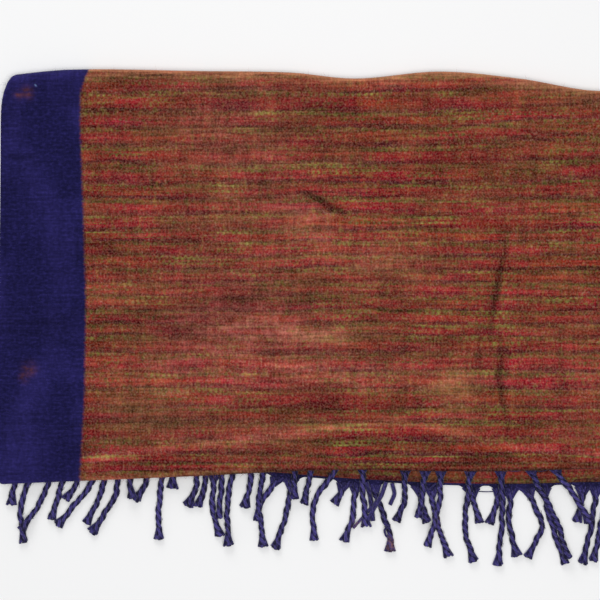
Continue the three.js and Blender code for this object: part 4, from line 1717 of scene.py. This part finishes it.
def yarn_tree():
    tree, n, given = new_geometry_tree("twisted_yarn", YARN_INPUTS)
    curve = n.add("GeometryNodeMeshToCurve", {"Mesh": given["Geometry"]}).outputs[0]
    is_twisted = n.math("GREATER_THAN", named(n, "twisted"), 0.5)
    parts = n.add("GeometryNodeSeparateGeometry", {"Geometry": curve, "Selection": is_twisted})
    plies = []
    for ply in range(PLIES):
        offset, facing = ply_offset(n, given, 2 * math.pi * ply / PLIES)
        moved = n.add("GeometryNodeSetPosition", {"Geometry": parts.outputs[0], "Offset": offset})
        # How far a ply faces up sets its painted highlight and groove shade in the yarn material
        store = {"Geometry": moved.outputs[0], "Name": "facing", "Value": facing}
        marked = n.add("GeometryNodeStoreNamedAttribute", store, data_type="FLOAT", domain="POINT")
        plies.append(marked.outputs[0])
    store = {"Geometry": parts.outputs[1], "Name": "facing", "Value": SINGLE_FACING}
    singles = n.add("GeometryNodeStoreNamedAttribute", store, data_type="FLOAT", domain="POINT")
    all_lines = n.add("GeometryNodeJoinGeometry")
    for line in [singles.outputs[0], *reversed(plies)]:
        tree.links.new(line, all_lines.inputs[0])
    radius = n.math("MULTIPLY", given["Ply radius"], named(n, "thick"))
    round_profile = {"Resolution": given["Profile sides"], "Radius": 1.0}
    circle = n.add("GeometryNodeCurvePrimitiveCircle", round_profile)
    place = n.add("GeometryNodeInputPosition").outputs[0]
    store = {"Geometry": circle.outputs[0], "Name": "around", "Value": place}
    profile = n.add("GeometryNodeStoreNamedAttribute", store, data_type="FLOAT_VECTOR", domain="POINT")
    tube = {
        "Curve": all_lines.outputs[0],
        "Profile Curve": profile.outputs[0],
        "Scale": radius,
        "Fill Caps": True,
    }
    skin = n.add("GeometryNodeCurveToMesh", tube).outputs[0]
    smooth = n.add("GeometryNodeSetShadeSmooth", {"Geometry": skin}).outputs[0]
    real = n.add("GeometryNodeRealizeInstances", {"Geometry": smooth}).outputs[0]
    dressed = n.add("GeometryNodeSetMaterial", {"Geometry": real, "Material": given["Yarn"]})
    n.add("NodeGroupOutput", {0: dressed.outputs[0]})
    return tree


def set_inputs(modifier, **values):
    """Sets a tree's inputs by their sockets' identifiers, before the object is evaluated."""
    for item in modifier.node_group.interface.items_tree:
        if item.in_out == "INPUT" and item.name in values:
            modifier[item.identifier] = values[item.name]


def grown_mesh(thing, tree, name, **values):
    """Runs a tree on an object and returns the result as a plain mesh."""
    modifier = thing.modifiers.new(tree.name, "NODES")
    modifier.node_group = tree
    set_inputs(modifier, **values)
    depsgraph = bpy.context.evaluated_depsgraph_get()
    mesh = bpy.data.meshes.new_from_object(
        thing.evaluated_get(depsgraph), preserve_all_data_layers=True, depsgraph=depsgraph
    )
    mesh.name = name
    thing.modifiers.remove(modifier)
    return mesh


twisted_yarn = yarn_tree()
print("tree inputs:", [label for label, _, _ in YARN_INPUTS])

# %% [markdown]
# Navy yarn
# The fringe is the same navy as the border, but seen as cords: lighter where fibres stand
# off and catch the light, with painted highlight where a ply faces up and painted shade, nearly
# black, in the grooves. Fine threads wind round each ply at a slant, which the stored angle
# around the ply makes possible.

# %% Material of the fringe
YARN_NAVY = colour(34, 29, 82)
YARN_LIGHT = colour(94, 84, 162)
YARN_DARK = colour(14, 11, 42)
YARN_WORN = colour(150, 104, 100)
WINDINGS = 4.0
WINDING_SLANT = 1.5
WINDING_LIGHT = 0.2
WINDING_RAISED = 0.3
# name: changes a metre, detail
YARN_NOISES = {"fibres": (620.0, 3.0), "clouds": (75.0, 2.0), "wear": (420.0, 2.0)}
CORD_TINT = 7.0
CORD_TINT_SEED = 0.37
# name: range of a value, and the range it becomes
YARN_RANGES = {
    "clouds": (0.35, 0.65, 0.0, 1.0),
    "fibres": (0.5, 0.74, 0.0, 0.55),
    "windings": (-0.4, 1.0, 0.0, 1.0),
    "tint of a cord": (0.3, 0.7, -0.1, 0.12),
    "painted highlight facing up": (0.1, 1.0, -0.16, 0.3),
    "painted groove shade": (-0.1, 0.85, 0.8, 0.0),
    "wear": (0.42, 0.62, 0.1, 0.65),
}
YARN_BUMP = 0.6
YARN_DEPTH = 0.0009
YARN_FINISH = {
    "Roughness": 0.9,
    "Specular IOR Level": 0.15,
    "Sheen Weight": 0.2,
    "Sheen Roughness": 0.5,
}


def yarn_material():
    material, n, shader = new_material("navy_yarn")
    place = n.add("ShaderNodeTexCoord").outputs["Object"]
    around = n.split(n.attribute("around", "Vector"))
    facing = n.attribute("facing")

    def ranged(value, name):
        return n.between(value, *YARN_RANGES[name])

    angle = n.math("ARCTAN2", around[1], around[0])
    slant = n.math("MULTIPLY", n.attribute("travel"), WINDING_SLANT)
    wound = n.math("SINE", n.math("MULTIPLY_ADD", angle, WINDINGS, slant))
    fibres = n.noise(place, *YARN_NOISES["fibres"])
    tint = n.noise(n.join(n.attribute("number"), CORD_TINT_SEED, 0.0), CORD_TINT, 0.0)
    clouds = ranged(n.noise(place, *YARN_NOISES["clouds"]), "clouds")
    navy = n.blend(clouds, YARN_DARK, YARN_NAVY)
    windings = ranged(wound, "windings")
    level = n.math("MULTIPLY_ADD", windings, WINDING_LIGHT, ranged(fibres, "fibres"))
    level = n.math("ADD", level, ranged(tint, "tint of a cord"))
    # Painted highlight where a ply faces up
    level = n.math("ADD", level, ranged(facing, "painted highlight facing up"))
    navy = n.blend(level, navy, YARN_LIGHT)
    # Painted shade in the grooves, where a ply faces down
    navy = n.blend(ranged(facing, "painted groove shade"), navy, YARN_DARK)
    wear = ranged(n.noise(place, *YARN_NOISES["wear"]), "wear")
    navy = n.blend(n.math("MULTIPLY", n.attribute("worn"), wear), navy, YARN_WORN)
    n.put(shader.inputs["Base Color"], navy)
    height = n.math("MULTIPLY_ADD", wound, WINDING_RAISED, fibres)
    n.put(shader.inputs["Normal"], n.bump(height, YARN_BUMP, YARN_DEPTH))
    set_sockets(shader, YARN_FINISH)
    return material


yarn = yarn_material()
print("yarn:", len(yarn.node_tree.nodes), "nodes")

# %% [markdown]
# The end strips
# Where the weaving stops, a narrow navy strip holds the strands. Its outer edge is drawn
# down at each root and arches back between two roots. It is a thin closed band, made from
# rings as the cloth is.

# %% Build the end strips and join them with their strands
ARCH_MOST = 4.0
ARCH_FROM = 4.0
ARCH_RUN_IN = 9.0
ROOT_PULL = 3.4
ROOT_PULL_WIDTH = 3.6
STRIP_STEP = 2.0
STRIP_BACK = 0.2
# Across the strip, from its outer edge: share of its depth, share of the sheet's thickness
STRIP_SECTION = np.array([[0.0, 0.35], [0.12, 0.75], [0.4, 0.95], [0.75, 1.0], [1.0, 1.0]])
# The strips get a middle share of the yarn's painted highlight and groove shade
STRIP_FACING = 0.35
# along, y, radius
WORN_TIPS = np.array([[392, -270, 7], [446, -247, 6], [357, -250, 4]], float)


def strip_outer(row, along_here):
    roots = np.array([strand.root for strand in strands[row]])
    nearest = np.abs(along_here[:, None] - roots[None, :]).min(axis=1)
    arch = ARCH_MOST * ease((nearest - ARCH_FROM) / ARCH_RUN_IN)
    return edge_at(row, along_here) + arch - ROOT_PULL * np.exp(-((nearest / ROOT_PULL_WIDTH) ** 2))


def strip_mesh(row):
    inner = SELVAGE_STEPS[-1]
    middle = np.arange(inner, WIDTH - inner, STRIP_STEP)
    outermost = np.array(SELVAGE_STEPS)
    along_here = np.concatenate([outermost[:-1], middle, WIDTH - outermost[::-1]])
    shares, thick = STRIP_SECTION.T
    outer = strip_outer(row, along_here)[:, None]
    far = edge_at(row, along_here)[:, None] + STRIP_DEPTH + STRIP_BACK
    y = mix(outer, far, shares)
    x = np.broadcast_to(place_x(along_here, DRAWN_IN[END_LAYER[row]])[:, None], y.shape)
    low = np.broadcast_to(END_HEIGHT[row] + SHEET * (1 - thick) / 2, y.shape)
    under = np.stack([x, y, low], axis=2)
    over = np.stack([x, y, low + SHEET * thick], axis=2)[:, ::-1]
    points = np.concatenate([under, over], axis=1)
    quads = ring_faces(*points.shape[:2])
    mesh = mesh_from_arrays(row + "_strip", points.reshape(-1, 3) * MM, quads)
    if signed_volume(mesh) < 0:
        mesh.flip_normals()
    add_numbers(mesh, "facing", np.full(len(mesh.vertices), STRIP_FACING))
    mesh.materials.append(yarn)
    return mesh


def join_objects(first, second):
    both = [first, second]
    with bpy.context.temp_override(active_object=first, selected_editable_objects=both):
        bpy.ops.object.join()


def mark_worn(mesh):
    points = np.empty(len(mesh.vertices) * 3)
    mesh.vertices.foreach_get("co", points)
    points = points.reshape(-1, 3) / MM
    worn = spots(WORN_TIPS, points[:, 0] + WIDTH / 2, points[:, 1])
    add_numbers(mesh, "worn", np.clip(worn, 0, 1))


def build_fringe(row):
    name = row + "_fringe_yarn"
    fringe = add_object(name, grown_mesh(sources[row], twisted_yarn, name, Yarn=yarn))
    join_objects(fringe, add_object(row + "_strip", strip_mesh(row)))
    mark_worn(fringe.data)
    bpy.data.objects.remove(sources[row])
    print(row, "fringe:", describe(fringe.data))
    return fringe


lower_fringe = build_fringe("lower")
upper_fringe = build_fringe("upper")

# %% [markdown]
# Nap
# Brushed wool has a halo of loose fibres, best seen along the folds. Geometry Nodes scatter
# slim bent fibres on the outer faces, more of them where the nap value is high. A hair
# system would do it too, but plain meshes export as they are. Each fibre is a closed, three
# sided needle that lies almost flat.

# %% Geometry Nodes tree for the nap
NAP_INPUTS = [
    ("Fibres a square metre", "NodeSocketFloat", 25000.0),
    ("Fibre length", "NodeSocketFloat", 6.5 * MM),
    ("Fibre radius", "NodeSocketFloat", 0.1 * MM),
    ("Bend", "NodeSocketFloat", 1.6 * MM),
    ("Least tilt", "NodeSocketFloat", math.radians(64)),
    ("Most tilt", "NodeSocketFloat", math.radians(88)),
    ("Seed", "NodeSocketInt", 12),
    ("Wool", "NodeSocketMaterial", None),
]
FIBRE_SIZES = {"Min": 0.5, "Max": 1.35}


def nap_tree():
    tree, n, given = new_geometry_tree("wool_nap", NAP_INPUTS)
    density = n.math("MULTIPLY", given["Fibres a square metre"], named(n, "nap"))
    scatter = {"Mesh": given["Geometry"], "Density": density, "Seed": given["Seed"]}
    points = n.add("GeometryNodeDistributePointsOnFaces", scatter)
    cone = {
        "Vertices": 3,
        "Side Segments": 2,
        "Radius Top": 0.0,
        "Radius Bottom": given["Fibre radius"],
        "Depth": given["Fibre length"],
    }
    needle = n.add("GeometryNodeMeshCone", cone)
    height = n.split(n.add("GeometryNodeInputPosition").outputs[0])[2]
    share = n.math("DIVIDE", height, given["Fibre length"])
    bow = n.math("MULTIPLY", n.math("MULTIPLY", share, share), given["Bend"])
    move = {"Geometry": needle.outputs[0], "Offset": n.join(0.0, bow, 0.0)}
    bent = n.add("GeometryNodeSetPosition", move)
    seeds = [n.math("ADD", given["Seed"], float(i)) for i in (1, 2, 3)]
    tilt = n.random(Min=given["Least tilt"], Max=given["Most tilt"], Seed=seeds[0])
    heading = n.random(Min=0.0, Max=2 * math.pi, Seed=seeds[1])
    turn = n.add("FunctionNodeEulerToRotation", {0: n.join(tilt, 0.0, heading)}).outputs[0]
    rotation = n.add(
        "FunctionNodeRotateRotation",
        {"Rotation": points.outputs["Rotation"], "Rotate By": turn},
        rotation_space="LOCAL",
    )
    size = n.random(**FIBRE_SIZES, Seed=seeds[2])
    place = {
        "Points": points.outputs["Points"],
        "Instance": bent.outputs[0],
        "Rotation": rotation.outputs[0],
        "Scale": n.join(size, size, size),
    }
    fibres = n.add("GeometryNodeInstanceOnPoints", place).outputs[0]
    real = n.add("GeometryNodeRealizeInstances", {"Geometry": fibres}).outputs[0]
    store = {"Geometry": real, "Name": "fibre", "Value": 1.0}
    marked = n.add("GeometryNodeStoreNamedAttribute", store, data_type="FLOAT", domain="POINT")
    smooth = n.add("GeometryNodeSetShadeSmooth", {"Geometry": marked.outputs[0]}).outputs[0]
    dressed = n.add("GeometryNodeSetMaterial", {"Geometry": smooth, "Material": given["Wool"]})
    n.add("NodeGroupOutput", {0: dressed.outputs[0]})
    return tree


wool_nap = nap_tree()
nap_mesh = grown_mesh(cloth, wool_nap, "blanket_nap", Wool=wool)
nap_fibres = add_object("blanket_nap", nap_mesh)
print("nap:", describe(nap_mesh))

# %% [markdown]
# Where each piece belongs
# The blanket has no joints, so all of it rides on one body. The cloth and the two fringes
# each stand for a solid, which is hidden, and the nap rides on the same body.


def place_piece(piece, slot, *nodes):
    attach(piece, "root")
    if nodes:
        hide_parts(*nodes)


place_piece(cloth, "wool_cloth", "cloth")
place_piece(nap_fibres, "wool_cloth")
place_piece(lower_fringe, "navy_yarn", "lower_fringe")
place_piece(upper_fringe, "navy_yarn", "upper_fringe")
print("pieces:", [piece.name for piece in (cloth, nap_fibres, lower_fringe, upper_fringe)])
